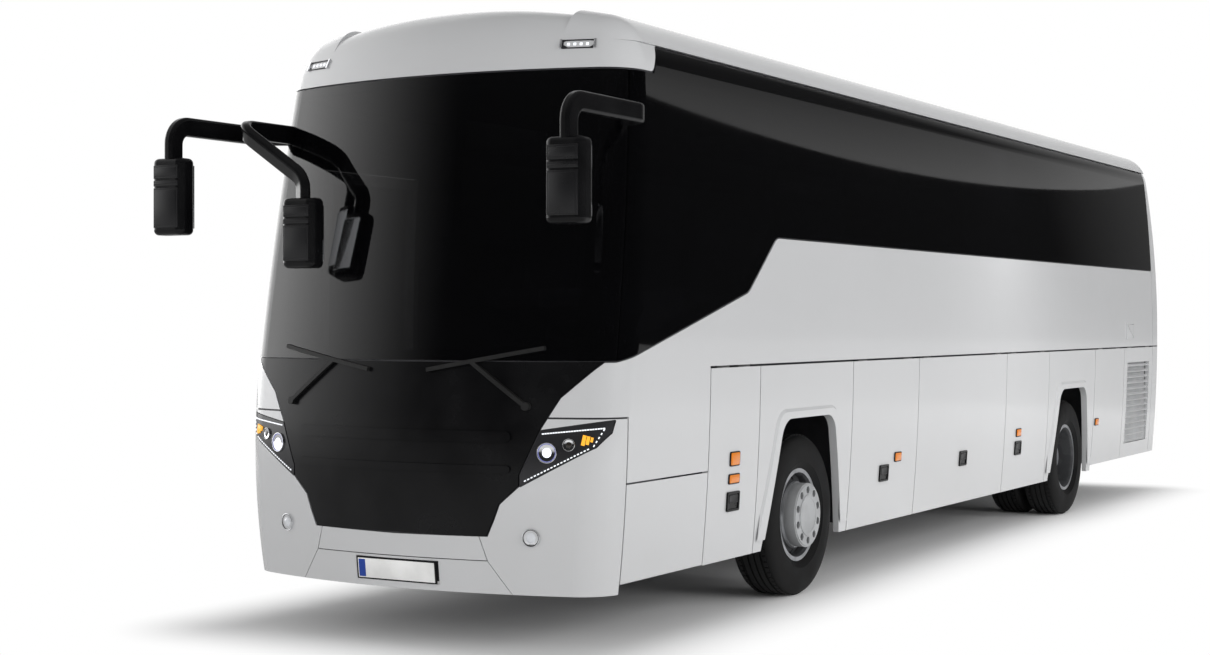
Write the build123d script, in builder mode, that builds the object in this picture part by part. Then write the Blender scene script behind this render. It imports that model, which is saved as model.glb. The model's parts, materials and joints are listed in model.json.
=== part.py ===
from build123d import *
import os
from math import cos, radians, sin, sqrt, tan

os.makedirs("parts", exist_ok=True)

# Two-axle touring coach, left-hand drive. X forward, Y to the left, Z up, millimetres.
# The origin lies on the ground below the middle of the whole length, mirrors included.

# Main lengths
BODY_LENGTH = 12100
BODY_WIDTH = 2550
MIRROR_REACH = 380
WHEELBASE = 6000
FRONT_OVERHANG = 2800

# Body section: bulged sides, crowned roof, rounded shoulders
SIDE_RADIUS = 14000
SIDE_BULGE_Z = 1650
CROWN_RADIUS = 4600
ROOF_CROWN_Z = 3575
SHOULDER_RADIUS = 300

# Nose in side view and in plan
NOSE_SWING = 3400
NOSE_RADIUS = 4360
SCREEN_RAKE = 9
SCREEN_BASE_Z = 1560
SCREEN_TOP_Z = 3170
DOME_RADIUS = 510
FRONT_CORNER = 260

# Tail in side view and in plan
REAR_BEND_Z = 1800
REAR_RADIUS = 8000
REAR_CORNER = 200

# Heights of the panel joints
BUMPER_Z = 300
SKIRT_Z = 350
TAIL_SKIRT_Z = 400
HATCH_TOP_Z = 900
LAMP_SHELF_Z = 1258
WAIST_Z = 1510
BELT_Z = 2300
GLASS_TOP_Z = 3330

# Wall build-up and joints
SKIN = 10
SEAT_GAP = 0.3
WALL = 60
DOOR_THICKNESS = 40
PANEL_GAP = 10
LINER = 40

# Lengths along the side, from the front axle (ahead is positive) unless named otherwise
BUMPER_EDGE = 2400
QUARTER_EDGE = 1424
ARCH_PANEL_HALF = 742
FLAP_2_LENGTH = 1265
FLAP_3_LENGTH = 2060
FLAP_5_LENGTH = 1050
TAIL_PIECE = 380

# Driver's window: where its lower edge drops from the belt
DROP_START = 480
DROP_KNEE = 910
DROP_KNEE_Z = 1955
PILLAR_FOOT = 2460
PILLAR_HEAD = 2200
BROW_STEP = 1980
BROW_RISE = 90
DROP_ROUND = 130
BROW_ROUND = 50

# Wheel arches
ARCH_HALF = 620
ARCH_TOP_HALF = 400
ARCH_TOP_Z = 1160
ARCH_ROUND = 150
FLARE_GROW = 110
FLARE_ROUND = 190
FLARE_TAPER = 55
TRIM_RISE = 14

# Flap hinges
HINGE_INSET = 2
KNUCKLE_RADIUS = 4
KNUCKLE_LENGTH = 80
KNUCKLE_END_GAP = 0.3
HINGE_DROP = 7
HINGE_RISE = 6
HINGE_MARGIN = 160

# Louvred grille in the last flap
GRILLE_BORDER = 130
GRILLE_LOW_Z = 540
GRILLE_HIGH_Z = 1355
LOUVRES = 14
LOUVRE_DEPTH = 34
LOUVRE_SHEET = 6
LOUVRE_TILT = 35

# Entrance door on the right, from the front axle
DOOR_REAR = 880
DOOR_FRONT = 1860
DOOR_LOW_Z = 370
DOOR_HIGH_Z = 2720
DOOR_SILL_Z = 1250
DOOR_BORDER = 70
DOOR_ARM = 500
DOOR_ARM_DEPTH = 110
DOOR_ELBOW = 200
DOOR_OPEN = 160
DOOR_POST_RADIUS = 22
DOOR_PIN_RADIUS = 12
DOOR_ARM_LOW_Z = 1000
DOOR_ARM_SECTION = 36

# Wheels
TYRE_RADIUS = 522
TYRE_WIDTH = 295
RIM_SEAT_RADIUS = 286
TRACK = 2150
TWIN_SPACING = 330
STUB_RADIUS = 40
SPINDLE_RADIUS = 60
BEARING_GAP = 0.5
KINGPIN_RADIUS = 24
KINGPIN_HALF = 960
BOLT_CIRCLE = 335
BOLT_COUNT = 10

# Floors
FLOOR_Z = 1320
FLOOR_THICKNESS = 40
PLATFORM_Z = 960
HOLD_FLOOR_Z = 440
BULKHEAD = 40
RAIL_INNER = 380
RAIL_WIDTH = 80
FRONT_RAIL_HEIGHT = 220
REAR_RAIL_Z = 820
REAR_RAIL_HEIGHT = 200

# Seats
SEAT_PITCH = 790
SEAT_ROWS = 12
SEAT_FIRST = 250
SEAT_WIDTH = 890
AISLE_HALF = 235
SEAT_HEIGHT = 440
CUSHION_DEPTH = 460
CUSHION_THICKNESS = 130
BACK_HEIGHT = 720
BACK_THICKNESS = 110
BACK_LEAN = 14

# Places worked out from the sizes above
HALF_WIDTH = BODY_WIDTH / 2
TAIL_X = -(BODY_LENGTH + MIRROR_REACH) / 2
NOSE_X = TAIL_X + BODY_LENGTH
FRONT_AXLE_X = NOSE_X - FRONT_OVERHANG
REAR_AXLE_X = FRONT_AXLE_X - WHEELBASE
SWING_X = NOSE_X - NOSE_SWING
BUMPER_X = FRONT_AXLE_X + BUMPER_EDGE
QUARTER_X = FRONT_AXLE_X + QUARTER_EDGE
TAIL_EDGE_X = TAIL_X + TAIL_PIECE
FRAME_FRONT_X = FRONT_AXLE_X + BROW_STEP
DOOR_REAR_X = FRONT_AXLE_X + DOOR_REAR
DOOR_FRONT_X = FRONT_AXLE_X + DOOR_FRONT
HALF_GAP = PANEL_GAP / 2
FAR = 2 * BODY_WIDTH
SKY_Z = ROOF_CROWN_Z + SHOULDER_RADIUS
RAKE = radians(SCREEN_RAKE)
SIDES = (("left", 1), ("right", -1))


def side_half_width(z):
    """Half-width of the body's outer side at a height."""
    return HALF_WIDTH - SIDE_RADIUS + sqrt(SIDE_RADIUS**2 - (z - SIDE_BULGE_Z) ** 2)


def body_form(inset):
    """The whole body as one solid, set in from the outer skin all round and open below."""
    low_z = BUMPER_Z - inset
    nose_centre = (NOSE_SWING - NOSE_RADIUS, SCREEN_BASE_Z - NOSE_RADIUS * sin(RAKE))
    nose = NOSE_RADIUS - inset
    chin = (nose_centre[0] + sqrt(nose**2 - (low_z - nose_centre[1]) ** 2), low_z)
    tip = (nose_centre[0] + nose, nose_centre[1])
    screen_foot = (nose_centre[0] + nose * cos(RAKE), nose_centre[1] + nose * sin(RAKE))
    outer_foot_r = nose_centre[0] + NOSE_RADIUS * cos(RAKE)
    outer_head_r = outer_foot_r - (SCREEN_TOP_Z - SCREEN_BASE_Z) * tan(RAKE)
    dome_centre = (outer_head_r - DOME_RADIUS * cos(RAKE), SCREEN_TOP_Z - DOME_RADIUS * sin(RAKE))
    dome = DOME_RADIUS - inset
    dome_mid = radians((90 + SCREEN_RAKE) / 2)
    screen_head = (dome_centre[0] + dome * cos(RAKE), dome_centre[1] + dome * sin(RAKE))
    brow = (dome_centre[0] + dome * cos(dome_mid), dome_centre[1] + dome * sin(dome_mid))
    dome_top = (dome_centre[0], dome_centre[1] + dome)
    tail = TAIL_X + inset
    tail_radius = REAR_RADIUS - inset
    tail_centre_x = TAIL_X + REAR_RADIUS
    mid_z = (SKY_Z + REAR_BEND_Z) / 2
    tail_mid = (tail_centre_x - sqrt(tail_radius**2 - (mid_z - REAR_BEND_Z) ** 2), mid_z)
    tail_top = (tail_centre_x - sqrt(tail_radius**2 - (SKY_Z - REAR_BEND_Z) ** 2), SKY_Z)
    with BuildPart() as form:
        with BuildSketch(Plane.YZ.offset(SWING_X)):
            with BuildLine():
                ThreePointArc(chin, tip, screen_foot)
                Line(screen_foot, screen_head)
                ThreePointArc(screen_head, brow, dome_top)
                Polyline(dome_top, (0, dome_top[1]), (0, low_z), chin)
            make_face()
        revolve(axis=Axis((SWING_X, 0, 0), (0, 0, -1)), revolution_arc=180)
        with BuildSketch(Plane.XZ):
            with BuildLine():
                Polyline((SWING_X, SKY_Z), (SWING_X, low_z), (tail, low_z), (tail, REAR_BEND_Z))
                ThreePointArc((tail, REAR_BEND_Z), tail_mid, tail_top)
                Line(tail_top, (SWING_X, SKY_Z))
            make_face()
        extrude(amount=BODY_WIDTH, both=True)
        with BuildSketch(Plane.YZ.offset(TAIL_X - WALL)) as section:
            with Locations((HALF_WIDTH - SIDE_RADIUS, SIDE_BULGE_Z)):
                Circle(SIDE_RADIUS - inset)
            with Locations((SIDE_RADIUS - HALF_WIDTH, SIDE_BULGE_Z)):
                Circle(SIDE_RADIUS - inset, mode=Mode.INTERSECT)
            with Locations((0, ROOF_CROWN_Z - CROWN_RADIUS)):
                Circle(CROWN_RADIUS - inset, mode=Mode.INTERSECT)
            with Locations((0, low_z)):
                Rectangle(FAR, SKY_Z, align=(Align.CENTER, Align.MIN), mode=Mode.INTERSECT)
            fillet(section.vertices().group_by(Axis.Y)[-1], radius=SHOULDER_RADIUS - inset)
        extrude(amount=BODY_LENGTH + 2 * WALL, mode=Mode.INTERSECT)
        tall = [e for e in form.edges() if e.bounding_box().size.Z > SKIRT_Z]
        corners = [e for e in tall if abs(e.center().Y) > HALF_WIDTH / 2]
        fillet([e for e in corners if e.center().X > SWING_X], radius=FRONT_CORNER - inset)
        tall = [e for e in form.edges() if e.bounding_box().size.Z > SKIRT_Z]
        corners = [e for e in tall if abs(e.center().Y) > HALF_WIDTH / 2]
        fillet([e for e in corners if e.center().X < TAIL_EDGE_X], radius=REAR_CORNER - inset)
    return form.part


def round_corner(sketch, x, z, radius):
    """Round the corner of a sketch that lies at a point."""
    fillet(sketch.vertices().sort_by_distance(Vector(x, z))[0], radius=radius)


def save(piece, node):
    """Label a finished piece and write it out."""
    piece.part.label = node
    export_step(piece.part, f"parts/{node}.step")


# Nested body forms, and the layers between them
outer_form = body_form(0)
skin_back = body_form(SKIN)
frame_face = body_form(SKIN + SEAT_GAP)
frame_back = body_form(WALL)
cabin_form = body_form(WALL + SEAT_GAP)
liner_back = body_form(WALL + LINER)
door_back = body_form(DOOR_THICKNESS)
bay_form = body_form(DOOR_THICKNESS + SEAT_GAP)
trim_face = body_form(-TRIM_RISE)
clear_form = body_form(-SEAT_GAP)

with BuildPart() as skin_layer:
    add(outer_form)
    add(skin_back, mode=Mode.SUBTRACT)

with BuildPart() as frame_layer:
    add(frame_face)
    add(frame_back, mode=Mode.SUBTRACT)

with BuildPart() as door_layer:
    add(outer_form)
    add(door_back, mode=Mode.SUBTRACT)

# Outlines seen from the side (X, Z)
arch_front = FRONT_AXLE_X + ARCH_PANEL_HALF
arch_rear = FRONT_AXLE_X - ARCH_PANEL_HALF
rear_arch_front = REAR_AXLE_X + ARCH_PANEL_HALF
rear_arch_rear = REAR_AXLE_X - ARCH_PANEL_HALF
flap_3_front = arch_rear - FLAP_2_LENGTH
flap_4_front = flap_3_front - FLAP_3_LENGTH
flap_6_front = rear_arch_rear - FLAP_5_LENGTH
drop_start_x = FRONT_AXLE_X + DROP_START
drop_knee_x = FRONT_AXLE_X + DROP_KNEE
pillar_foot_x = FRONT_AXLE_X + PILLAR_FOOT
pillar_head_x = FRONT_AXLE_X + PILLAR_HEAD
brow_step_x = FRONT_AXLE_X + BROW_STEP
door_middle = ((DOOR_REAR_X + DOOR_FRONT_X) / 2, (DOOR_LOW_Z + DOOR_HIGH_Z) / 2)
door_opening = DOOR_FRONT - DOOR_REAR + 2 * PANEL_GAP
hinge_z = WAIST_Z
panel_low_z = hinge_z + HINGE_RISE
flap_top_z = hinge_z - HINGE_DROP

# Flaps along the skirt: number, front edge, rear edge, bottom edge, sides that have it
FLAPS = (
    (1, QUARTER_X, arch_front, SKIRT_Z, ("left",)),
    (2, arch_rear, flap_3_front, SKIRT_Z, ("left", "right")),
    (3, flap_3_front, flap_4_front, SKIRT_Z, ("left", "right")),
    (4, flap_4_front, rear_arch_front, SKIRT_Z, ("left", "right")),
    (5, rear_arch_rear, flap_6_front, TAIL_SKIRT_Z, ("left", "right")),
    (6, flap_6_front, TAIL_EDGE_X, TAIL_SKIRT_Z, ("left", "right")),
)

# Outlines seen from the front (Y, Z), one half
corner_edge = ((1190, 1560), (1095, 1470), (980, 1365), (886, 1205))
lamp_inner = ((880, 1190), (772, 950), (772, 890))
lamp_outline = (*lamp_inner, (1165, 1105), (1222, 1180), (1232, 1245))
mask_edge = (*corner_edge, *lamp_inner, (660, 790), (625, 700), (585, 612))
BAR_TOP_Z = 605
BAR_LOW_Z = 480
BAR_HALF = 530
FLAP_TOP_HALF = 575
FLAP_LOW_HALF = 750
PLATE_HALF = 280
PLATE_Z = 400
PLATE_HEIGHT = 130


def knuckle(x, side, z_from, z_to):
    """One hinge knuckle on the flap axis with its tab, added to the open part."""
    y = side * (side_half_width(hinge_z) - HINGE_INSET)
    with BuildSketch(Plane.YZ.offset(x)) as profile:
        with Locations((y, hinge_z)):
            Circle(KNUCKLE_RADIUS)
        with Locations((y - side * KNUCKLE_RADIUS / 2, (z_from + z_to) / 2)):
            Rectangle(KNUCKLE_RADIUS, z_to - z_from)
    extrude(profile.sketch, amount=KNUCKLE_LENGTH)


def flap_hinges(front, rear):
    """X of the start of each flap knuckle, one near each end."""
    return (rear + HINGE_MARGIN, front - HINGE_MARGIN - KNUCKLE_LENGTH)


def louvres(front, rear, side):
    """The tilted slats across the grille opening of a flap."""
    pitch = (GRILLE_HIGH_Z - GRILLE_LOW_Z) / LOUVRES
    with BuildPart() as slats:
        for index in range(LOUVRES):
            z = GRILLE_LOW_Z + (index + 0.5) * pitch
            y = side * (side_half_width(z) - DOOR_THICKNESS / 2)
            with BuildSketch(Plane.YZ.offset(rear + GRILLE_BORDER - DOOR_THICKNESS)):
                with Locations(Pos(y, z) * Rot(0, 0, -side * LOUVRE_TILT)):
                    Rectangle(LOUVRE_DEPTH, LOUVRE_SHEET)
            extrude(amount=front - rear - 2 * (GRILLE_BORDER - DOOR_THICKNESS))
    return slats.part


# Skirt flaps, hinged along their top edges
for number, front, rear, low, sides in FLAPS:
    for side_name, side in SIDES:
        if side_name not in sides:
            continue
        slats = louvres(front, rear, side)
        with BuildPart() as flap:
            add(door_layer.part)
            with BuildSketch(Plane.XZ):
                with BuildLine():
                    Polyline(
                        (rear + HALF_GAP, low),
                        (front - HALF_GAP, low),
                        (front - HALF_GAP, flap_top_z),
                        (rear + HALF_GAP, flap_top_z),
                        close=True,
                    )
                make_face()
            extrude(amount=-side * FAR, mode=Mode.INTERSECT)
            if number == FLAPS[-1][0]:
                with BuildSketch(Plane.XZ):
                    with Locations(((front + rear) / 2, GRILLE_LOW_Z)):
                        Rectangle(
                            front - rear - 2 * GRILLE_BORDER,
                            GRILLE_HIGH_Z - GRILLE_LOW_Z,
                            align=(Align.CENTER, Align.MIN),
                        )
                extrude(amount=-side * FAR, mode=Mode.SUBTRACT)
                add(slats)
            for x in flap_hinges(front, rear):
                knuckle(x, side, flap_top_z - HINGE_DROP, hinge_z)
        save(flap, f"{side_name}_flap_{number}")

# Upper side panels, from the waist to the glass, round the corner to the front mask
for side_name, side in SIDES:
    with BuildPart() as side_panel:
        add(skin_layer.part)
        with BuildSketch(Plane.XZ) as outline:
            with BuildLine():
                Polyline(
                    (TAIL_EDGE_X + HALF_GAP, panel_low_z),
                    (QUARTER_X + HALF_GAP, panel_low_z),
                    (QUARTER_X + HALF_GAP, HATCH_TOP_Z + HALF_GAP),
                    (BUMPER_X - HALF_GAP, HATCH_TOP_Z + HALF_GAP),
                    (BUMPER_X - HALF_GAP, LAMP_SHELF_Z + HALF_GAP),
                    (NOSE_X + WALL, LAMP_SHELF_Z + HALF_GAP),
                    (NOSE_X + WALL, SCREEN_BASE_Z - HALF_GAP),
                    (pillar_foot_x, SCREEN_BASE_Z - HALF_GAP),
                    (drop_knee_x - HALF_GAP, DROP_KNEE_Z - HALF_GAP),
                    (drop_start_x - HALF_GAP, BELT_Z - HALF_GAP),
                    (TAIL_EDGE_X + HALF_GAP, BELT_Z - HALF_GAP),
                    close=True,
                )
            make_face()
            round_corner(outline, drop_start_x - HALF_GAP, BELT_Z - HALF_GAP, DROP_ROUND - PANEL_GAP)
            round_corner(outline, drop_knee_x - HALF_GAP, DROP_KNEE_Z - HALF_GAP, DROP_ROUND)
        extrude(amount=-side * FAR, mode=Mode.INTERSECT)
        with BuildSketch(Plane.YZ.offset(BUMPER_X)):
            with BuildLine():
                Polyline((0, SCREEN_BASE_Z), *mask_edge, (0, BUMPER_Z), close=True)
            make_face()
            mirror(about=Plane.YZ)
        extrude(amount=FRONT_OVERHANG, mode=Mode.SUBTRACT)
        if side_name == "right":
            with BuildSketch(Plane.XZ):
                with Locations(door_middle):
                    Rectangle(door_opening, DOOR_HIGH_Z - DOOR_LOW_Z + 2 * PANEL_GAP)
            extrude(amount=-side * FAR, mode=Mode.SUBTRACT)
        for number, front, rear, low, sides in FLAPS:
            if side_name in sides:
                for x in flap_hinges(front, rear):
                    start = x + KNUCKLE_LENGTH + KNUCKLE_END_GAP
                    knuckle(start, side, hinge_z, panel_low_z + HINGE_DROP)
    save(side_panel, f"{side_name}_side_panel")

# Fixed skirt panels: round the wheels, ahead of the first flap and beside the entrance
with BuildPart() as quarter_back:
    add(skin_back)
    with BuildSketch(Plane.YZ.offset(QUARTER_X)):
        Rectangle(FAR, 2 * SKY_Z)
    extrude(amount=FRONT_OVERHANG, mode=Mode.INTERSECT)


def arch_outline(axle_x, grow, radius):
    """Sketch of a wheel arch seen from the side, grown outward by an amount."""
    with BuildSketch(Plane.XZ, mode=Mode.PRIVATE) as outline:
        with BuildLine():
            Polyline(
                (axle_x - ARCH_HALF - grow, 0),
                (axle_x - ARCH_HALF - grow, SKIRT_Z),
                (axle_x - ARCH_TOP_HALF - grow, ARCH_TOP_Z + grow),
                (axle_x + ARCH_TOP_HALF + grow, ARCH_TOP_Z + grow),
                (axle_x + ARCH_HALF + grow, SKIRT_Z),
                (axle_x + ARCH_HALF + grow, 0),
                close=True,
            )
        make_face()
        fillet(outline.vertices().group_by(Axis.Y)[-1], radius=radius)
    return outline.sketch_local


with BuildPart() as arch_flares:
    for side in (1, -1):
        for axle_x in (FRONT_AXLE_X, REAR_AXLE_X):
            with BuildSketch(Plane.XZ.offset(-side * (HALF_WIDTH - DOOR_THICKNESS))) as flare:
                add(arch_outline(axle_x, FLARE_GROW, FLARE_ROUND))
            extrude(flare.sketch, amount=-side * FLARE_GROW, taper=FLARE_TAPER)
    add(trim_face, mode=Mode.INTERSECT)
    add(door_back, mode=Mode.SUBTRACT)

with BuildPart() as skirt_panels:
    add(door_layer.part)
    with BuildSketch(Plane.XZ) as skirt:
        for front, rear in ((arch_front, arch_rear), (rear_arch_front, rear_arch_rear)):
            with Locations(((front + rear) / 2, (SKIRT_Z + flap_top_z) / 2)):
                Rectangle(front - rear - PANEL_GAP, flap_top_z - SKIRT_Z)
        with Locations(((QUARTER_X + BUMPER_X) / 2, (SKIRT_Z + HATCH_TOP_Z) / 2)):
            Rectangle(BUMPER_X - QUARTER_X - PANEL_GAP, HATCH_TOP_Z - SKIRT_Z - PANEL_GAP)
        with Locations((arch_front - PANEL_GAP, SKIRT_Z)):
            Rectangle(QUARTER_X - arch_front, flap_top_z - SKIRT_Z, align=(Align.MIN, Align.MIN))
    extrude(amount=FAR, both=True, mode=Mode.INTERSECT)
    add(arch_flares.part)
    with BuildSketch(Plane.XZ):
        for axle_x in (FRONT_AXLE_X, REAR_AXLE_X):
            add(arch_outline(axle_x, 0, ARCH_ROUND))
    extrude(amount=FAR, both=True, mode=Mode.SUBTRACT)
    with BuildSketch(Plane.XZ):
        with Locations(((arch_front + QUARTER_X) / 2, WAIST_Z / 2)):
            Rectangle(QUARTER_X - arch_front + PANEL_GAP, FAR)
    extrude(amount=-FAR, mode=Mode.SUBTRACT)
    with BuildSketch(Plane.XZ):
        with Locations(door_middle):
            Rectangle(door_opening, DOOR_HIGH_Z)
    extrude(amount=FAR, mode=Mode.SUBTRACT)
    add(quarter_back.part, mode=Mode.SUBTRACT)
save(skirt_panels, "skirt_panels")

# Roof with the front dome over the windscreen and a raised cove along each side
COVE_INNER = 800
COVE_LIFT = 32
COVE_SETBACK = 21
lifted_form = Pos(0, 0, COVE_LIFT) * outer_form
set_back_form = Pos(-COVE_SETBACK, 0, COVE_LIFT) * outer_form
with BuildPart() as roof_coves:
    add(lifted_form)
    add(set_back_form, mode=Mode.INTERSECT)
    with BuildSketch(Plane.YZ.offset(TAIL_X)):
        with Locations((0, GLASS_TOP_Z + HALF_GAP)):
            Rectangle(FAR, SKY_Z, align=(Align.CENTER, Align.MIN))
            Rectangle(2 * COVE_INNER, 2 * SKY_Z, mode=Mode.SUBTRACT)
    extrude(amount=BODY_LENGTH, mode=Mode.INTERSECT)
    add(skin_back, mode=Mode.SUBTRACT)

with BuildPart() as roof:
    add(skin_layer.part)
    with BuildSketch(Plane.XZ) as outline:
        with BuildLine():
            Polyline(
                (TAIL_X - WALL, GLASS_TOP_Z + HALF_GAP),
                (brow_step_x - BROW_RISE, GLASS_TOP_Z + HALF_GAP),
                (brow_step_x, SCREEN_TOP_Z + HALF_GAP),
                (NOSE_X + WALL, SCREEN_TOP_Z + HALF_GAP),
                (NOSE_X + WALL, SKY_Z),
                (TAIL_X - WALL, SKY_Z),
                close=True,
            )
        make_face()
        round_corner(outline, brow_step_x - BROW_RISE, GLASS_TOP_Z + HALF_GAP, BROW_ROUND)
        round_corner(outline, brow_step_x, SCREEN_TOP_Z + HALF_GAP, BROW_ROUND)
    extrude(amount=FAR, both=True, mode=Mode.INTERSECT)
    add(roof_coves.part)
save(roof, "roof")

# Bonded side glass, one black band a side with the driver's dropped window
for side_name, side in SIDES:
    with BuildPart() as side_glass:
        add(skin_layer.part)
        with BuildSketch(Plane.XZ) as outline:
            with BuildLine():
                Polyline(
                    (TAIL_EDGE_X + HALF_GAP, BELT_Z + HALF_GAP),
                    (drop_start_x, BELT_Z + HALF_GAP),
                    (drop_knee_x, DROP_KNEE_Z + HALF_GAP),
                    (pillar_foot_x - HALF_GAP, SCREEN_BASE_Z + HALF_GAP),
                    (pillar_head_x - HALF_GAP, SCREEN_TOP_Z - HALF_GAP),
                    (brow_step_x - PANEL_GAP, SCREEN_TOP_Z - HALF_GAP),
                    (brow_step_x - BROW_RISE - PANEL_GAP, GLASS_TOP_Z - HALF_GAP),
                    (TAIL_EDGE_X + HALF_GAP, GLASS_TOP_Z - HALF_GAP),
                    close=True,
                )
            make_face()
            round_corner(outline, drop_start_x, BELT_Z + HALF_GAP, DROP_ROUND)
            round_corner(outline, drop_knee_x, DROP_KNEE_Z + HALF_GAP, DROP_ROUND - PANEL_GAP)
            round_corner(outline, brow_step_x - BROW_RISE - PANEL_GAP, GLASS_TOP_Z - HALF_GAP, BROW_ROUND)
        extrude(amount=-side * FAR, mode=Mode.INTERSECT)
        if side_name == "right":
            with BuildSketch(Plane.XZ):
                with Locations(door_middle):
                    Rectangle(door_opening, DOOR_HIGH_Z - DOOR_LOW_Z + 2 * PANEL_GAP)
            extrude(amount=-side * FAR, mode=Mode.SUBTRACT)
    save(side_glass, f"{side_name}_glass")

# Wraparound windscreen
with BuildPart() as windscreen:
    add(skin_layer.part)
    with BuildSketch(Plane.XZ):
        with BuildLine():
            Polyline(
                (pillar_foot_x + HALF_GAP, SCREEN_BASE_Z + HALF_GAP),
                (NOSE_X + WALL, SCREEN_BASE_Z + HALF_GAP),
                (NOSE_X + WALL, SCREEN_TOP_Z - HALF_GAP),
                (pillar_head_x + HALF_GAP, SCREEN_TOP_Z - HALF_GAP),
                close=True,
            )
        make_face()
    extrude(amount=FAR, both=True, mode=Mode.INTERSECT)
save(windscreen, "windscreen")

# Black front mask below the windscreen, between the headlamps, with two raised ribs
RIB_HALF = 720
# Each rib: middle height, width
MASK_RIBS = ((1155, 60), (980, 40))
with BuildPart() as mask_ribs:
    add(trim_face)
    with BuildSketch(Plane.YZ.offset(BUMPER_X)):
        for z, width in MASK_RIBS:
            with Locations((0, z)):
                SlotOverall(2 * RIB_HALF, width)
    extrude(amount=FRONT_OVERHANG, mode=Mode.INTERSECT)
    add(skin_back, mode=Mode.SUBTRACT)

with BuildPart() as front_mask:
    add(skin_layer.part)
    with BuildSketch(Plane.YZ.offset(BUMPER_X)):
        with BuildLine():
            Polyline(
                (0, SCREEN_BASE_Z - HALF_GAP),
                *[(y - PANEL_GAP, z) for y, z in mask_edge],
                (0, BAR_TOP_Z + PANEL_GAP),
                close=True,
            )
        make_face()
        mirror(about=Plane.YZ)
    extrude(amount=FRONT_OVERHANG, mode=Mode.INTERSECT)
    add(mask_ribs.part)
save(front_mask, "front_mask")

# Headlamps at the front corners and round fog lamps in the bumper
FOG_LAMP_HALF = 830
FOG_LAMP_Z = 615
FOG_LAMP_RADIUS = 42
with BuildPart() as front_lamps:
    add(skin_layer.part)
    with BuildSketch(Plane.YZ.offset(BUMPER_X)):
        with BuildLine():
            Polyline(*lamp_outline, close=True)
        make_face()
        with Locations((FOG_LAMP_HALF, FOG_LAMP_Z)):
            Circle(FOG_LAMP_RADIUS)
        mirror(about=Plane.YZ)
    extrude(amount=FRONT_OVERHANG, mode=Mode.INTERSECT)
save(front_lamps, "front_lamps")

# Bumper: two corners, the centre bar and the lower flap with the plate recess
with BuildPart() as bumper:
    add(skin_layer.part)
    with BuildSketch(Plane.XZ):
        with Locations((BUMPER_X + HALF_GAP, BUMPER_Z)):
            Rectangle(FRONT_OVERHANG, LAMP_SHELF_Z - HALF_GAP - BUMPER_Z, align=(Align.MIN, Align.MIN))
    extrude(amount=FAR, both=True, mode=Mode.INTERSECT)
    with BuildSketch(Plane.YZ.offset(BUMPER_X)):
        with BuildLine():
            Polyline(*lamp_outline, close=True)
        make_face()
        offset(amount=PANEL_GAP / 2)
        with Locations((FOG_LAMP_HALF, FOG_LAMP_Z)):
            Circle(FOG_LAMP_RADIUS + SEAT_GAP)
        with BuildLine():
            Polyline((0, SCREEN_BASE_Z), *mask_edge, (0, BAR_TOP_Z), close=True)
        make_face()
        mirror(about=Plane.YZ)
    extrude(amount=FRONT_OVERHANG, mode=Mode.SUBTRACT)
    with BuildSketch(Plane.YZ.offset(BUMPER_X)):
        with Locations((0, BAR_LOW_Z)):
            Rectangle(2 * FLAP_TOP_HALF, HALF_GAP)
        with Locations((0, PLATE_Z)):
            Rectangle(2 * PLATE_HALF, PLATE_HEIGHT)
        with BuildLine():
            Polyline(
                (BAR_HALF, BAR_TOP_Z + PANEL_GAP),
                (BAR_HALF + HALF_GAP, BAR_TOP_Z + PANEL_GAP),
                (FLAP_TOP_HALF + HALF_GAP, BAR_LOW_Z),
                (FLAP_LOW_HALF + HALF_GAP, BUMPER_Z - WALL),
                (FLAP_LOW_HALF, BUMPER_Z - WALL),
                (FLAP_TOP_HALF, BAR_LOW_Z),
                close=True,
            )
        make_face()
        mirror(about=Plane.YZ)
    extrude(amount=FRONT_OVERHANG, mode=Mode.SUBTRACT)
save(bumper, "bumper")

# Tail: rear shell, engine lid, rear window and tail lamps
LID_HALF = 900
LID_LOW_Z = 620
LID_HIGH_Z = 1720
REAR_GLASS_HALF = 1000
REAR_GLASS_LOW_Z = 2250
REAR_GLASS_HIGH_Z = 3150
TAIL_LAMP_Y = 1060
TAIL_LAMP_WIDTH = 110
TAIL_LAMP_LOW_Z = 900
TAIL_LAMP_HIGH_Z = 1600
LID_HINGES = (-600, 520)
tail_view = Plane.YZ.offset(TAIL_X - WALL)
lid_opening_high_z = LID_HIGH_Z + HINGE_RISE
lid_top_z = LID_HIGH_Z - HINGE_DROP


def lid_knuckle(y, z_from, z_to):
    """One knuckle of the engine lid's hinge with its tab, added to the open part."""
    x = TAIL_X + HINGE_INSET
    with BuildSketch(Plane.XZ.offset(-y)) as profile:
        with Locations((x, LID_HIGH_Z)):
            Circle(KNUCKLE_RADIUS)
        with Locations((x + KNUCKLE_RADIUS / 2, (z_from + z_to) / 2)):
            Rectangle(KNUCKLE_RADIUS, z_to - z_from)
    extrude(profile.sketch, amount=-KNUCKLE_LENGTH)


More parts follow.
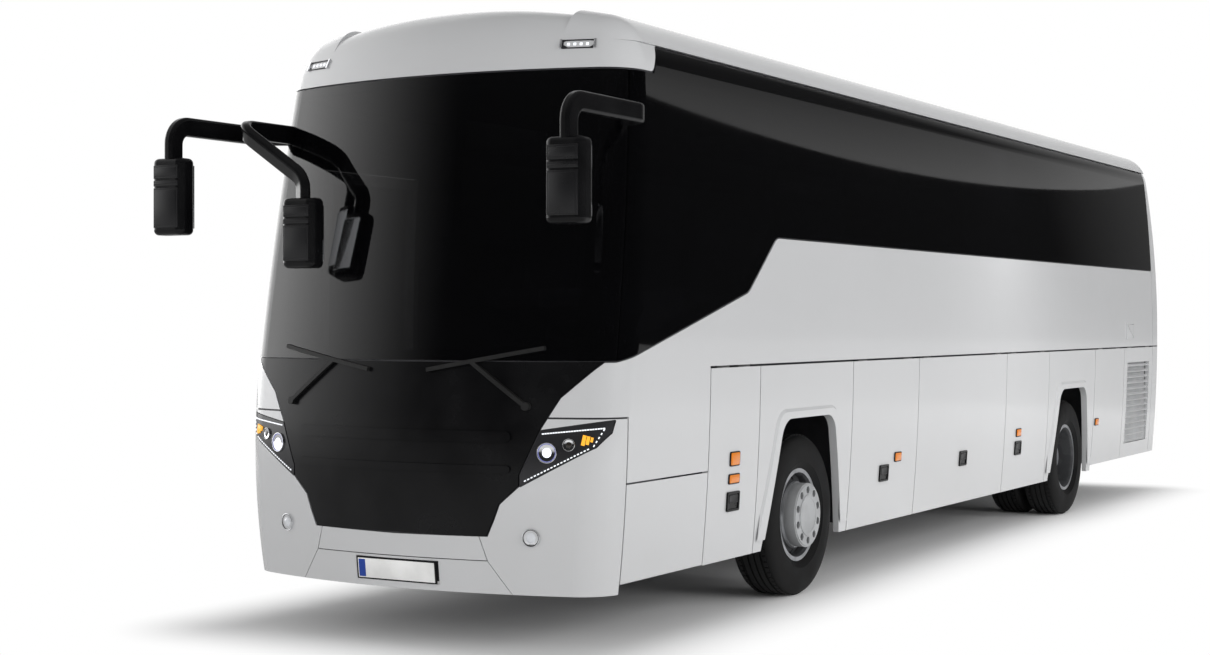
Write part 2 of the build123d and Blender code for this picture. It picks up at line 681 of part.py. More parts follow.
with BuildPart() as rear_shell:
    add(skin_layer.part)
    with BuildSketch(Plane.XZ):
        with Locations((TAIL_EDGE_X - HALF_GAP, TAIL_SKIRT_Z)):
            Rectangle(
                FAR, GLASS_TOP_Z - HALF_GAP - TAIL_SKIRT_Z, align=(Align.MAX, Align.MIN)
            )
    extrude(amount=FAR, both=True, mode=Mode.INTERSECT)
    with BuildSketch(tail_view):
        with Locations((0, lid_opening_high_z)):
            Rectangle(
                2 * LID_HALF + PANEL_GAP,
                lid_opening_high_z - LID_LOW_Z + PANEL_GAP,
                align=(Align.CENTER, Align.MAX),
            )
        with Locations((0, (REAR_GLASS_LOW_Z + REAR_GLASS_HIGH_Z) / 2)):
            Rectangle(2 * REAR_GLASS_HALF + PANEL_GAP, REAR_GLASS_HIGH_Z - REAR_GLASS_LOW_Z + PANEL_GAP)
        for side in (1, -1):
            with Locations((side * TAIL_LAMP_Y, (TAIL_LAMP_LOW_Z + TAIL_LAMP_HIGH_Z) / 2)):
                Rectangle(TAIL_LAMP_WIDTH + HALF_GAP, TAIL_LAMP_HIGH_Z - TAIL_LAMP_LOW_Z + HALF_GAP)
    extrude(amount=TAIL_PIECE, mode=Mode.SUBTRACT)
    for y in LID_HINGES:
        lid_knuckle(y + KNUCKLE_LENGTH + KNUCKLE_END_GAP, LID_HIGH_Z, lid_opening_high_z + HINGE_DROP)
save(rear_shell, "rear_shell")

with BuildPart() as rear_window:
    add(skin_layer.part)
    with BuildSketch(tail_view):
        with Locations((0, (REAR_GLASS_LOW_Z + REAR_GLASS_HIGH_Z) / 2)):
            Rectangle(2 * REAR_GLASS_HALF, REAR_GLASS_HIGH_Z - REAR_GLASS_LOW_Z)
    extrude(amount=TAIL_PIECE, mode=Mode.INTERSECT)
save(rear_window, "rear_window")

with BuildPart() as tail_lamps:
    add(skin_layer.part)
    with BuildSketch(tail_view):
        for side in (1, -1):
            with Locations((side * TAIL_LAMP_Y, (TAIL_LAMP_LOW_Z + TAIL_LAMP_HIGH_Z) / 2)):
                Rectangle(TAIL_LAMP_WIDTH, TAIL_LAMP_HIGH_Z - TAIL_LAMP_LOW_Z)
    extrude(amount=TAIL_PIECE, mode=Mode.INTERSECT)
save(tail_lamps, "tail_lamps")

with BuildPart() as engine_lid:
    add(door_layer.part)
    with BuildSketch(tail_view):
        with Locations((0, lid_top_z)):
            Rectangle(2 * LID_HALF, lid_top_z - LID_LOW_Z, align=(Align.CENTER, Align.MAX))
    extrude(amount=TAIL_PIECE, mode=Mode.INTERSECT)
    for y in LID_HINGES:
        lid_knuckle(y, lid_top_z - HINGE_DROP, LID_HIGH_Z)
save(engine_lid, "engine_lid")

# Frame behind the skin: side walls with window openings, roof, tail and front
FRAME_SPLIT_Z = 3240
WINDOW_BORDER = 60
WINDOW_TOP_Z = 3180
WINDOW_BAYS = 8
POST_WIDTH = 90
DOOR_MARGIN = 15
bay_start = TAIL_EDGE_X + WINDOW_BORDER
bay_pitch = (drop_start_x - bay_start) / WINDOW_BAYS
drop_slope = (DROP_KNEE_Z - SCREEN_BASE_Z) / (pillar_foot_x - drop_knee_x)
frame_front_drop_z = DROP_KNEE_Z - (FRAME_FRONT_X - drop_knee_x) * drop_slope
for side_name, side in SIDES:
    with BuildPart() as side_frame:
        add(frame_layer.part)
        with BuildSketch(Plane.XZ):
            with BuildLine():
                Polyline(
                    (TAIL_EDGE_X, panel_low_z),
                    (QUARTER_X + DOOR_MARGIN, panel_low_z),
                    (QUARTER_X + DOOR_MARGIN, HATCH_TOP_Z + HALF_GAP),
                    (FRAME_FRONT_X, HATCH_TOP_Z + HALF_GAP),
                    (FRAME_FRONT_X, FRAME_SPLIT_Z),
                    (TAIL_EDGE_X, FRAME_SPLIT_Z),
                    close=True,
                )
            make_face()
        extrude(amount=-side * FAR, mode=Mode.INTERSECT)
        with BuildSketch(Plane.XZ):
            for bay in range(WINDOW_BAYS):
                with Locations((bay_start + bay * bay_pitch, BELT_Z + WINDOW_BORDER)):
                    Rectangle(
                        bay_pitch - POST_WIDTH,
                        WINDOW_TOP_Z - BELT_Z - WINDOW_BORDER,
                        align=(Align.MIN, Align.MIN),
                    )
            with BuildLine():
                Polyline(
                    (drop_start_x, BELT_Z + WINDOW_BORDER),
                    (drop_start_x + WINDOW_BORDER, BELT_Z + WINDOW_BORDER),
                    (drop_knee_x + WINDOW_BORDER, DROP_KNEE_Z + WINDOW_BORDER),
                    (FRAME_FRONT_X + WALL, frame_front_drop_z + WINDOW_BORDER),
                    (FRAME_FRONT_X + WALL, SCREEN_TOP_Z - WINDOW_BORDER),
                    (drop_start_x, SCREEN_TOP_Z - WINDOW_BORDER),
                    close=True,
                )
            make_face()
            if side_name == "right":
                with Locations((DOOR_REAR_X - DOOR_MARGIN, DOOR_LOW_Z - DOOR_MARGIN)):
                    Rectangle(
                        DOOR_FRONT - DOOR_REAR + 2 * DOOR_MARGIN,
                        DOOR_HIGH_Z - DOOR_LOW_Z + 2 * DOOR_MARGIN,
                        align=(Align.MIN, Align.MIN),
                    )
        extrude(amount=-side * FAR, mode=Mode.SUBTRACT)
    save(side_frame, f"{side_name}_side_frame")

with BuildPart() as roof_frame:
    add(frame_layer.part)
    with BuildSketch(Plane.XZ):
        with Locations(((TAIL_X + NOSE_X) / 2, FRAME_SPLIT_Z)):
            Rectangle(2 * BODY_LENGTH, SKY_Z - FRAME_SPLIT_Z, align=(Align.CENTER, Align.MIN))
    extrude(amount=FAR, both=True, mode=Mode.INTERSECT)
save(roof_frame, "roof_frame")

with BuildPart() as rear_frame:
    add(frame_layer.part)
    with BuildSketch(Plane.XZ):
        with Locations((TAIL_EDGE_X, TAIL_SKIRT_Z)):
            Rectangle(BODY_LENGTH, FRAME_SPLIT_Z - TAIL_SKIRT_Z, align=(Align.MAX, Align.MIN))
    extrude(amount=FAR, both=True, mode=Mode.INTERSECT)
    with BuildSketch(tail_view):
        with Locations((0, (LID_LOW_Z + LID_HIGH_Z) / 2)):
            Rectangle(2 * (LID_HALF + DOOR_MARGIN), LID_HIGH_Z - LID_LOW_Z + 2 * DOOR_MARGIN)
        with Locations((0, (REAR_GLASS_LOW_Z + REAR_GLASS_HIGH_Z) / 2)):
            Rectangle(
                2 * (REAR_GLASS_HALF - WINDOW_BORDER),
                REAR_GLASS_HIGH_Z - REAR_GLASS_LOW_Z - 2 * WINDOW_BORDER,
            )
    extrude(amount=TAIL_PIECE, mode=Mode.SUBTRACT)
save(rear_frame, "rear_frame")

with BuildPart() as front_frame:
    add(frame_layer.part)
    with BuildSketch(Plane.XZ):
        with BuildLine():
            Polyline(
                (FRAME_FRONT_X, SKIRT_Z),
                (NOSE_X, SKIRT_Z),
                (NOSE_X, FRAME_SPLIT_Z),
                (FRAME_FRONT_X, FRAME_SPLIT_Z),
                close=True,
            )
        make_face()
    extrude(amount=FAR, both=True, mode=Mode.INTERSECT)
    with BuildSketch(Plane.XZ):
        with BuildLine():
            Polyline(
                (pillar_foot_x + WINDOW_BORDER, SCREEN_BASE_Z + WINDOW_BORDER),
                (NOSE_X, SCREEN_BASE_Z + WINDOW_BORDER),
                (NOSE_X, SCREEN_TOP_Z - WINDOW_BORDER),
                (pillar_head_x + WINDOW_BORDER, SCREEN_TOP_Z - WINDOW_BORDER),
                close=True,
            )
        make_face()
        with BuildLine():
            Polyline(
                (FRAME_FRONT_X - WALL, frame_front_drop_z + WINDOW_BORDER),
                (pillar_foot_x - WINDOW_BORDER, SCREEN_BASE_Z + 2 * WINDOW_BORDER),
                (pillar_head_x - WINDOW_BORDER, SCREEN_TOP_Z - WINDOW_BORDER),
                (FRAME_FRONT_X - WALL, SCREEN_TOP_Z - WINDOW_BORDER),
                close=True,
            )
        make_face()
    extrude(amount=FAR, both=True, mode=Mode.SUBTRACT)
    with BuildSketch(Plane.YZ.offset(BUMPER_X)):
        with BuildLine():
            Polyline(*lamp_outline, close=True)
        make_face()
        offset(amount=-DOOR_MARGIN)
        mirror(about=Plane.YZ)
    extrude(amount=FRONT_OVERHANG, mode=Mode.SUBTRACT)
save(front_frame, "front_frame")

# Saloon floor with upturned edges that carry the side walls
HOUSING_PLATE = 20
PLATFORM_REAR = 740
HEAD_X = FRONT_AXLE_X + PLATFORM_REAR
floor_low_z = FLOOR_Z - FLOOR_THICKNESS
with BuildPart() as above_floor:
    add(liner_back)
    with BuildSketch(Plane.XY.offset(FLOOR_Z)):
        Rectangle(2 * BODY_LENGTH, FAR)
    extrude(amount=SKY_Z, mode=Mode.INTERSECT)

with BuildPart() as saloon_floor:
    add(cabin_form)
    with BuildSketch(Plane.XZ):
        with Locations((TAIL_X, floor_low_z)):
            Rectangle(HEAD_X - TAIL_X, panel_low_z + LINER - floor_low_z, align=(Align.MIN, Align.MIN))
    extrude(amount=FAR, both=True, mode=Mode.INTERSECT)
    add(above_floor.part, mode=Mode.SUBTRACT)
save(saloon_floor, "saloon_floor")

# Driver's platform, with a riser up to the saloon and the folded entrance steps on the right
STAIR_INNER = 600
STAIR_MARGIN = 20
STEP_LOW_Z = 430
STEP_MID_Z = 695
STEP_TREAD = 280
STEP_SHEET = 20
platform_low_z = PLATFORM_Z - FLOOR_THICKNESS
with BuildPart() as driver_platform:
    add(cabin_form)
    with BuildSketch(Plane.XZ):
        with BuildLine():
            Polyline(
                (HEAD_X, platform_low_z),
                (NOSE_X, platform_low_z),
                (NOSE_X, PLATFORM_Z),
                (HEAD_X + FLOOR_THICKNESS, PLATFORM_Z),
                (HEAD_X + FLOOR_THICKNESS, FLOOR_Z),
                (HEAD_X, FLOOR_Z),
                close=True,
            )
        make_face()
    extrude(amount=FAR, both=True, mode=Mode.INTERSECT)
    with BuildSketch(Plane.XY):
        with Locations((DOOR_REAR_X - STAIR_MARGIN, -STAIR_INNER)):
            Rectangle(DOOR_FRONT - DOOR_REAR + 2 * STAIR_MARGIN, FAR, align=(Align.MIN, Align.MAX))
    extrude(amount=SKY_Z, mode=Mode.SUBTRACT)
    with BuildSketch(Plane.YZ.offset(DOOR_REAR_X - STAIR_MARGIN)):
        with BuildLine():
            Polyline(
                (-STAIR_INNER, PLATFORM_Z),
                (-STAIR_INNER, STEP_MID_Z - STEP_SHEET),
                (-STAIR_INNER - STEP_TREAD, STEP_MID_Z - STEP_SHEET),
                (-STAIR_INNER - STEP_TREAD, STEP_LOW_Z - STEP_SHEET),
                (-STAIR_INNER - 2 * STEP_TREAD, STEP_LOW_Z - STEP_SHEET),
                (-STAIR_INNER - 2 * STEP_TREAD, STEP_LOW_Z),
                (-STAIR_INNER - STEP_TREAD - STEP_SHEET, STEP_LOW_Z),
                (-STAIR_INNER - STEP_TREAD - STEP_SHEET, STEP_MID_Z),
                (-STAIR_INNER - STEP_SHEET, STEP_MID_Z),
                (-STAIR_INNER - STEP_SHEET, PLATFORM_Z),
                close=True,
            )
        make_face()
    extrude(amount=DOOR_FRONT - DOOR_REAR + 2 * STAIR_MARGIN)
save(driver_platform, "driver_platform")

# Luggage hold between the axles: floor, end bulkheads and posts at the flap joints
HOLD_POST = 60
with BuildPart() as luggage_hold:
    add(cabin_form)
    with BuildSketch(Plane.XZ):
        with Locations((rear_arch_front, HOLD_FLOOR_Z - BULKHEAD)):
            Rectangle(arch_rear - rear_arch_front, BULKHEAD, align=(Align.MIN, Align.MIN))
        for x in (arch_rear, rear_arch_front, flap_3_front, flap_4_front):
            with Locations((x, HOLD_FLOOR_Z - BULKHEAD)):
                Rectangle(BULKHEAD, floor_low_z - HOLD_FLOOR_Z + BULKHEAD, align=(Align.CENTER, Align.MIN))
    extrude(amount=FAR, both=True, mode=Mode.INTERSECT)
    with BuildSketch(Plane.YZ.offset(rear_arch_front + BULKHEAD / 2)):
        with Locations((0, HOLD_FLOOR_Z)):
            Rectangle(
                2 * (side_half_width(HOLD_FLOOR_Z) - WALL - HOLD_POST),
                FLOOR_Z,
                align=(Align.CENTER, Align.MIN),
            )
    extrude(amount=arch_rear - rear_arch_front - BULKHEAD, mode=Mode.SUBTRACT)
save(luggage_hold, "luggage_hold")

# Underframe: front and rear rail pairs with cross-members
rail_outer = RAIL_INNER + RAIL_WIDTH
front_rail_low_z = platform_low_z - FRONT_RAIL_HEIGHT
CROSS_MEMBER = 90
with BuildPart() as underframe:
    add(cabin_form)
    with BuildSketch(Plane.XY) as rails:
        front_start = arch_rear + BULKHEAD / 2
        rear_end = rear_arch_front - BULKHEAD / 2
        for side in (1, -1):
            with Locations((front_start, side * (RAIL_INNER + RAIL_WIDTH / 2))):
                Rectangle(BODY_LENGTH, RAIL_WIDTH, align=(Align.MIN, Align.CENTER))
            with Locations((rear_end, side * (RAIL_INNER + RAIL_WIDTH / 2))):
                Rectangle(BODY_LENGTH, RAIL_WIDTH, align=(Align.MAX, Align.CENTER))
        for x in (arch_front, QUARTER_X, BUMPER_X, rear_arch_rear):
            with Locations((x, 0)):
                Rectangle(CROSS_MEMBER, 2 * RAIL_INNER + RAIL_WIDTH)
    extrude(amount=SKY_Z, mode=Mode.INTERSECT)
    with BuildSketch(Plane.XZ):
        with Locations((front_start, front_rail_low_z)):
            Rectangle(BODY_LENGTH, FRONT_RAIL_HEIGHT, align=(Align.MIN, Align.MIN))
        with Locations((rear_end, REAR_RAIL_Z)):
            Rectangle(BODY_LENGTH, REAR_RAIL_HEIGHT, align=(Align.MAX, Align.MIN))
    extrude(amount=FAR, both=True, mode=Mode.INTERSECT)
save(underframe, "underframe")

# Engine at the tail, between the rails
ENGINE_LENGTH = 1500
ENGINE_TAIL_GAP = 320
ENGINE_LOW_Z = 480
ENGINE_HIGH_Z = 1220
with BuildPart() as engine:
    with BuildSketch(Plane.XY.offset(ENGINE_LOW_Z)):
        with Locations((TAIL_X + ENGINE_TAIL_GAP, 0)):
            Rectangle(ENGINE_LENGTH, 2 * RAIL_INNER, align=(Align.MIN, Align.CENTER))
    extrude(amount=ENGINE_HIGH_Z - ENGINE_LOW_Z)
save(engine, "engine")

# Wheel housings: end plates, inner wall and lid over each wheel
housing_half = ARCH_HALF + 2 * HOUSING_PLATE
HOUSING_LOW_Z = 420
with BuildPart() as wheel_housings:
    add(bay_form)
    with BuildSketch(Plane.XZ):
        for axle_x in (FRONT_AXLE_X, REAR_AXLE_X):
            with Locations((axle_x, HOUSING_LOW_Z)):
                Rectangle(
                    2 * (housing_half + HOUSING_PLATE),
                    floor_low_z - HOUSING_LOW_Z,
                    align=(Align.CENTER, Align.MIN),
                )
    extrude(amount=FAR, both=True, mode=Mode.INTERSECT)
    with BuildSketch(Plane.XZ):
        for axle_x in (FRONT_AXLE_X, REAR_AXLE_X):
            with Locations((axle_x, 0)):
                Rectangle(2 * housing_half, floor_low_z - HOUSING_PLATE, align=(Align.CENTER, Align.MIN))
    extrude(amount=FAR, both=True, mode=Mode.SUBTRACT)
    with BuildSketch(Plane.XY):
        Rectangle(2 * BODY_LENGTH, 2 * rail_outer)
    extrude(amount=SKY_Z, mode=Mode.SUBTRACT)
    with BuildSketch(Plane.XY.offset(front_rail_low_z)):
        for axle_x in (FRONT_AXLE_X, REAR_AXLE_X):
            for side in (1, -1):
                with Locations((axle_x, side * (rail_outer + HOUSING_PLATE / 2))):
                    Rectangle(2 * housing_half + HOUSING_PLATE, HOUSING_PLATE)
    extrude(amount=floor_low_z - front_rail_low_z)
save(wheel_housings, "wheel_housings")

# Wheels: tyres, rims, and the axles and knuckles that carry them
BEAD_HALF = 108
FLANGE = 8
FLANGE_RISE = 14
TREAD_HALF = 120
TREAD_ROUND = 16
BARREL = 20
STUB_END = 100
NUT_RADIUS = 15
NUT_RECESS = 22
RECESS_DEPTH = 22
HAND_HOLE = 17
HAND_HOLE_CIRCLE = 482
FACE_REACH = 105
CAP_REACH = 135
CAP_RADIUS = 100
COVER_RADIUS = 212
DISC_FOOT = 25
DISC_NECK = 78
REAR_HUB_RADIUS = 130
rim_edge = RIM_SEAT_RADIUS + FLANGE_RISE
axle_z = TYRE_RADIUS


def axle_plane(axle_x, wheel_y, side):
    """Plane through an axle, local x pointing outward from a wheel's middle, local y up."""
    return Plane(origin=(axle_x, wheel_y, axle_z), x_dir=(0, side, 0), z_dir=(side, 0, 0))


def tyre_ring(plane):
    """One tyre as a ring that grips the rim seat."""
    side_mid = (RIM_SEAT_RADIUS + TYRE_RADIUS) / 2
    with BuildSketch(plane) as profile:
        with BuildLine():
            ThreePointArc(
                (BEAD_HALF, rim_edge + SEAT_GAP),
                (TYRE_WIDTH / 2, side_mid),
                (TREAD_HALF, TYRE_RADIUS - TREAD_ROUND),
            )
            Polyline(
                (TREAD_HALF, TYRE_RADIUS - TREAD_ROUND),
                (TREAD_HALF - TREAD_ROUND, TYRE_RADIUS),
                (TREAD_ROUND - TREAD_HALF, TYRE_RADIUS),
                (-TREAD_HALF, TYRE_RADIUS - TREAD_ROUND),
            )
            ThreePointArc(
                (-TREAD_HALF, TYRE_RADIUS - TREAD_ROUND),
                (-TYRE_WIDTH / 2, side_mid),
                (-BEAD_HALF, rim_edge + SEAT_GAP),
            )
            Polyline(
                (-BEAD_HALF, rim_edge + SEAT_GAP),
                (-BEAD_HALF, RIM_SEAT_RADIUS + SEAT_GAP),
                (BEAD_HALF, RIM_SEAT_RADIUS + SEAT_GAP),
                (BEAD_HALF, rim_edge + SEAT_GAP),
            )
        make_face()
    revolve(profile.sketch, axis=Axis(plane.origin, plane.x_dir))


def turned(plane, points):
    """A ring turned about the axle from a closed outline of (outward, radius) points."""
    with BuildSketch(plane) as profile:
        with BuildLine():
            Polyline(*points, close=True)
        make_face()
    revolve(profile.sketch, axis=Axis(plane.origin, plane.x_dir))


def wheel_nuts(plane, reach):
    """A ring of wheel nuts sunk in the hub cover."""
    face = Plane(origin=plane.from_local_coords((reach, 0, 0)), z_dir=plane.x_dir)
    with BuildSketch(face) as nuts:
        with PolarLocations(BOLT_CIRCLE / 2, BOLT_COUNT):
            Circle(NUT_RECESS)
        with PolarLocations(BOLT_CIRCLE / 2, BOLT_COUNT):
            Circle(NUT_RADIUS, mode=Mode.SUBTRACT)
    extrude(nuts.sketch, amount=-RECESS_DEPTH, mode=Mode.SUBTRACT)


def hand_holes(plane, reach, depth):
    """A ring of holes through the wheel's cone."""
    face = Plane(origin=plane.from_local_coords((reach, 0, 0)), z_dir=plane.x_dir)
    with BuildSketch(face) as holes:
        with PolarLocations(HAND_HOLE_CIRCLE / 2, BOLT_COUNT):
            Circle(HAND_HOLE)
    extrude(holes.sketch, amount=-depth, mode=Mode.SUBTRACT)


barrel_low = RIM_SEAT_RADIUS - BARREL
flange_out = BEAD_HALF + SEAT_GAP + FLANGE
rim_barrel = (
    (-flange_out, rim_edge),
    (-BEAD_HALF - SEAT_GAP, rim_edge),
    (-BEAD_HALF - SEAT_GAP, RIM_SEAT_RADIUS),
    (BEAD_HALF + SEAT_GAP, RIM_SEAT_RADIUS),
    (BEAD_HALF + SEAT_GAP, rim_edge),
    (flange_out, rim_edge),
    (flange_out, barrel_low + FLANGE),
    (flange_out - BARREL, barrel_low),
    (BARREL - flange_out, barrel_low),
    (-flange_out, barrel_low + FLANGE),
)
disc_seat = barrel_low + BARREL / 2
stub_bore = STUB_RADIUS + BEARING_GAP
HUB_INNER = 60
HUB_RADIUS = 115
front_disc = (
    (DISC_FOOT, disc_seat),
    (DISC_FOOT + BARREL, disc_seat),
    (DISC_NECK, COVER_RADIUS + FLANGE_RISE),
    (FACE_REACH, COVER_RADIUS),
    (FACE_REACH, HUB_RADIUS),
    (CAP_REACH, CAP_RADIUS),
    (CAP_REACH, 0),
    (STUB_END + 1, 0),
    (STUB_END + 1, stub_bore),
    (-HUB_INNER, stub_bore),
    (-HUB_INNER, HUB_RADIUS),
    (HUB_INNER, HUB_RADIUS),
    (FACE_REACH - BARREL, COVER_RADIUS - FLANGE_RISE),
    (DISC_NECK - BARREL, COVER_RADIUS),
)
spindle_bore = SPINDLE_RADIUS + BEARING_GAP
SPINDLE_END = 10
twin_mid = -TWIN_SPACING / 2
DISH_DEPTH = 70
rear_disc = (
    (-DISH_DEPTH - BARREL, disc_seat),
    (-DISH_DEPTH, disc_seat),
    (twin_mid + BARREL, COVER_RADIUS),
    (twin_mid + BARREL, HUB_RADIUS),
    (twin_mid, HUB_RADIUS),
    (twin_mid, COVER_RADIUS),
)
rear_hub = (
    (-TWIN_SPACING + HUB_INNER, spindle_bore),
    (-TWIN_SPACING + HUB_INNER, REAR_HUB_RADIUS),
    (-HUB_INNER, REAR_HUB_RADIUS),
    (SPINDLE_END + BARREL, CAP_RADIUS),
    (SPINDLE_END + BARREL, 0),
    (SPINDLE_END + 1, 0),
    (SPINDLE_END + 1, spindle_bore),
)
for side_name, side in SIDES:
    wheel_y = side * TRACK / 2
    front_plane = axle_plane(FRONT_AXLE_X, wheel_y, side)
    rear_plane = axle_plane(REAR_AXLE_X, wheel_y, side)
    inner_plane = axle_plane(REAR_AXLE_X, wheel_y - side * TWIN_SPACING, side)
    with BuildPart() as front_tyre:
        tyre_ring(front_plane)
    save(front_tyre, f"front_{side_name}_tyre")
    with BuildPart() as front_rim:
        turned(front_plane, rim_barrel)
        turned(front_plane, front_disc)
        wheel_nuts(front_plane, FACE_REACH)
        hand_holes(front_plane, FACE_REACH, FACE_REACH)
    save(front_rim, f"front_{side_name}_rim")
    with BuildPart() as rear_tyres:
        tyre_ring(rear_plane)
        tyre_ring(inner_plane)
    save(rear_tyres, f"rear_{side_name}_tyres")
    with BuildPart() as rear_rims:
        turned(rear_plane, rim_barrel)
        turned(inner_plane, rim_barrel)
        turned(rear_plane, rear_disc)
        turned(rear_plane, [(2 * twin_mid - u, r) for u, r in rear_disc])
        turned(rear_plane, rear_hub)
        wheel_nuts(rear_plane, twin_mid + BARREL)
        hand_holes(rear_plane, 0, TWIN_SPACING)
    save(rear_rims, f"rear_{side_name}_rims")

# Steering knuckles: a fork round the axle eye, the kingpin and the stub
EYE_RADIUS = 33
EYE_HALF = 65
FORK_GAP = 1
FORK_PLATE = 30
FORK_RADIUS = 45
FORK_WEB = 15
FORK_CLEAR = 5
fork_y = KINGPIN_HALF + EYE_RADIUS + FORK_CLEAR
fork_half = EYE_HALF + FORK_GAP + FORK_PLATE
for side_name, side in SIDES:
    with BuildPart() as knuckle_piece:
        with BuildSketch(Plane.XY.offset(axle_z - fork_half)) as fork:
            with Locations((FRONT_AXLE_X, side * KINGPIN_HALF)):
                Circle(FORK_RADIUS)
            with Locations((FRONT_AXLE_X, side * (KINGPIN_HALF + fork_y + FORK_WEB) / 2)):
                Rectangle(2 * FORK_RADIUS, fork_y + FORK_WEB - KINGPIN_HALF)
        extrude(amount=2 * fork_half)
        with BuildSketch(Plane.XY.offset(axle_z - EYE_HALF - FORK_GAP)):
            with Locations((FRONT_AXLE_X, 0)):
                Rectangle(4 * FORK_RADIUS, 2 * fork_y)
        extrude(amount=2 * (EYE_HALF + FORK_GAP), mode=Mode.SUBTRACT)
        with BuildSketch(Plane.XY.offset(axle_z - fork_half)):
            with Locations((FRONT_AXLE_X, side * KINGPIN_HALF)):
                Circle(KINGPIN_RADIUS)
        extrude(amount=2 * fork_half)
        with BuildSketch(Plane(origin=(FRONT_AXLE_X, side * fork_y, axle_z), z_dir=(0, side, 0))):
            Circle(STUB_RADIUS)
        extrude(amount=TRACK / 2 + STUB_END - fork_y)
    save(knuckle_piece, f"{side_name}_knuckle")

# Front axle beam with its kingpin eyes and air springs
BEAM_HALF = 45
SPRING_RADIUS = 80
spring_y = rail_outer - SPRING_RADIUS - BEARING_GAP
with BuildPart() as front_axle:
    with BuildSketch(Plane.XY.offset(axle_z - BEAM_HALF)):
        with Locations((FRONT_AXLE_X, 0)):
            Rectangle(2 * BEAM_HALF, 2 * (KINGPIN_HALF - EYE_RADIUS / 2))
    extrude(amount=2 * BEAM_HALF)
    with BuildSketch(Plane.XY.offset(axle_z - EYE_HALF)):
        with Locations((FRONT_AXLE_X, KINGPIN_HALF), (FRONT_AXLE_X, -KINGPIN_HALF)):
            Circle(EYE_RADIUS)
    extrude(amount=2 * EYE_HALF)
    with BuildSketch(Plane.XY.offset(axle_z - EYE_HALF)):
        with Locations((FRONT_AXLE_X, KINGPIN_HALF), (FRONT_AXLE_X, -KINGPIN_HALF)):
            Circle(KINGPIN_RADIUS + BEARING_GAP)
    extrude(amount=2 * EYE_HALF, mode=Mode.SUBTRACT)
    with BuildSketch(Plane.XY.offset(axle_z)):
        with Locations((FRONT_AXLE_X, spring_y), (FRONT_AXLE_X, -spring_y)):
            Circle(SPRING_RADIUS)
    extrude(amount=front_rail_low_z - axle_z)
save(front_axle, "front_axle")

# Rear axle: housing tube, drive housing, spindles and air springs
TUBE_RADIUS = 75
TUBE_HALF = 640
DRIVE_RADIUS = 190
DRIVE_HALF = 120
with BuildPart() as rear_axle:
    across = Plane(origin=(REAR_AXLE_X, 0, axle_z), z_dir=(0, 1, 0))
    with BuildSketch(across):
        Circle(SPINDLE_RADIUS)
    extrude(amount=TRACK / 2 + SPINDLE_END, both=True)
    with BuildSketch(across):
        Circle(TUBE_RADIUS)
    extrude(amount=TUBE_HALF, both=True)
    with BuildSketch(across):
        Circle(DRIVE_RADIUS)
    extrude(amount=DRIVE_HALF, both=True)
    with BuildSketch(Plane.XY.offset(axle_z)):
        with Locations((REAR_AXLE_X, spring_y), (REAR_AXLE_X, -spring_y)):
            Circle(SPRING_RADIUS)
    extrude(amount=REAR_RAIL_Z - axle_z)
save(rear_axle, "rear_axle")

# Seats: pairs on each side of the aisle, and the driver's seat
SEAT_BASE = 30
SEAT_LEG = 160
DRIVER_SEAT_X = 1400
DRIVER_SEAT_Y = 620
DRIVER_SEAT_WIDTH = 500
pair_y = AISLE_HALF + SEAT_WIDTH / 2
seat_pairs = [
    (FRONT_AXLE_X + SEAT_FIRST - row * SEAT_PITCH, side * pair_y, SEAT_WIDTH, FLOOR_Z)
    for row in range(SEAT_ROWS)
    for side in (1, -1)
]
# Each seat: X of the cushion's front edge, Y of its middle, width, floor height
SEATS = [*seat_pairs, (FRONT_AXLE_X + DRIVER_SEAT_X, DRIVER_SEAT_Y, DRIVER_SEAT_WIDTH, PLATFORM_Z)]
lean = BACK_HEIGHT * tan(radians(BACK_LEAN))
cushion_low = SEAT_HEIGHT - CUSHION_THICKNESS
with BuildPart() as seat_cushions:
    for x, y, width, floor in SEATS:
        with BuildSketch(Plane.XY.offset(floor + cushion_low)) as seat:
            with Locations((x, y)):
                Rectangle(CUSHION_DEPTH, width, align=(Align.MAX, Align.CENTER))
        extrude(amount=CUSHION_THICKNESS)
save(seat_cushions, "seat_cushions")

with BuildPart() as seat_backs:
    for x, y, width, floor in SEATS:
        back_x = x - CUSHION_DEPTH - SEAT_GAP
        low = floor + cushion_low
        with BuildSketch(Plane.XZ.offset(-y)):
            with BuildLine():
                Polyline(
                    (back_x, low),
                    (back_x - BACK_THICKNESS, low),
                    (back_x - BACK_THICKNESS - lean, low + BACK_HEIGHT),
                    (back_x - lean, low + BACK_HEIGHT),
                    close=True,
                )
            make_face()
        extrude(amount=width / 2, both=True)
save(seat_backs, "seat_backs")

with BuildPart() as seat_frames:
    for x, y, width, floor in SEATS:
        with BuildSketch(Plane.XY.offset(floor + cushion_low - SEAT_BASE)):
            with Locations((x - SEAT_LEG / 2, y)):
                Rectangle(CUSHION_DEPTH, width - SEAT_LEG, align=(Align.MAX, Align.CENTER))
        extrude(amount=SEAT_BASE)
        with BuildSketch(Plane.XY.offset(floor)):
            with Locations((x - CUSHION_DEPTH / 2, y)):
                Rectangle(SEAT_LEG, SEAT_LEG)
        extrude(amount=cushion_low - SEAT_BASE)
save(seat_frames, "seat_frames")

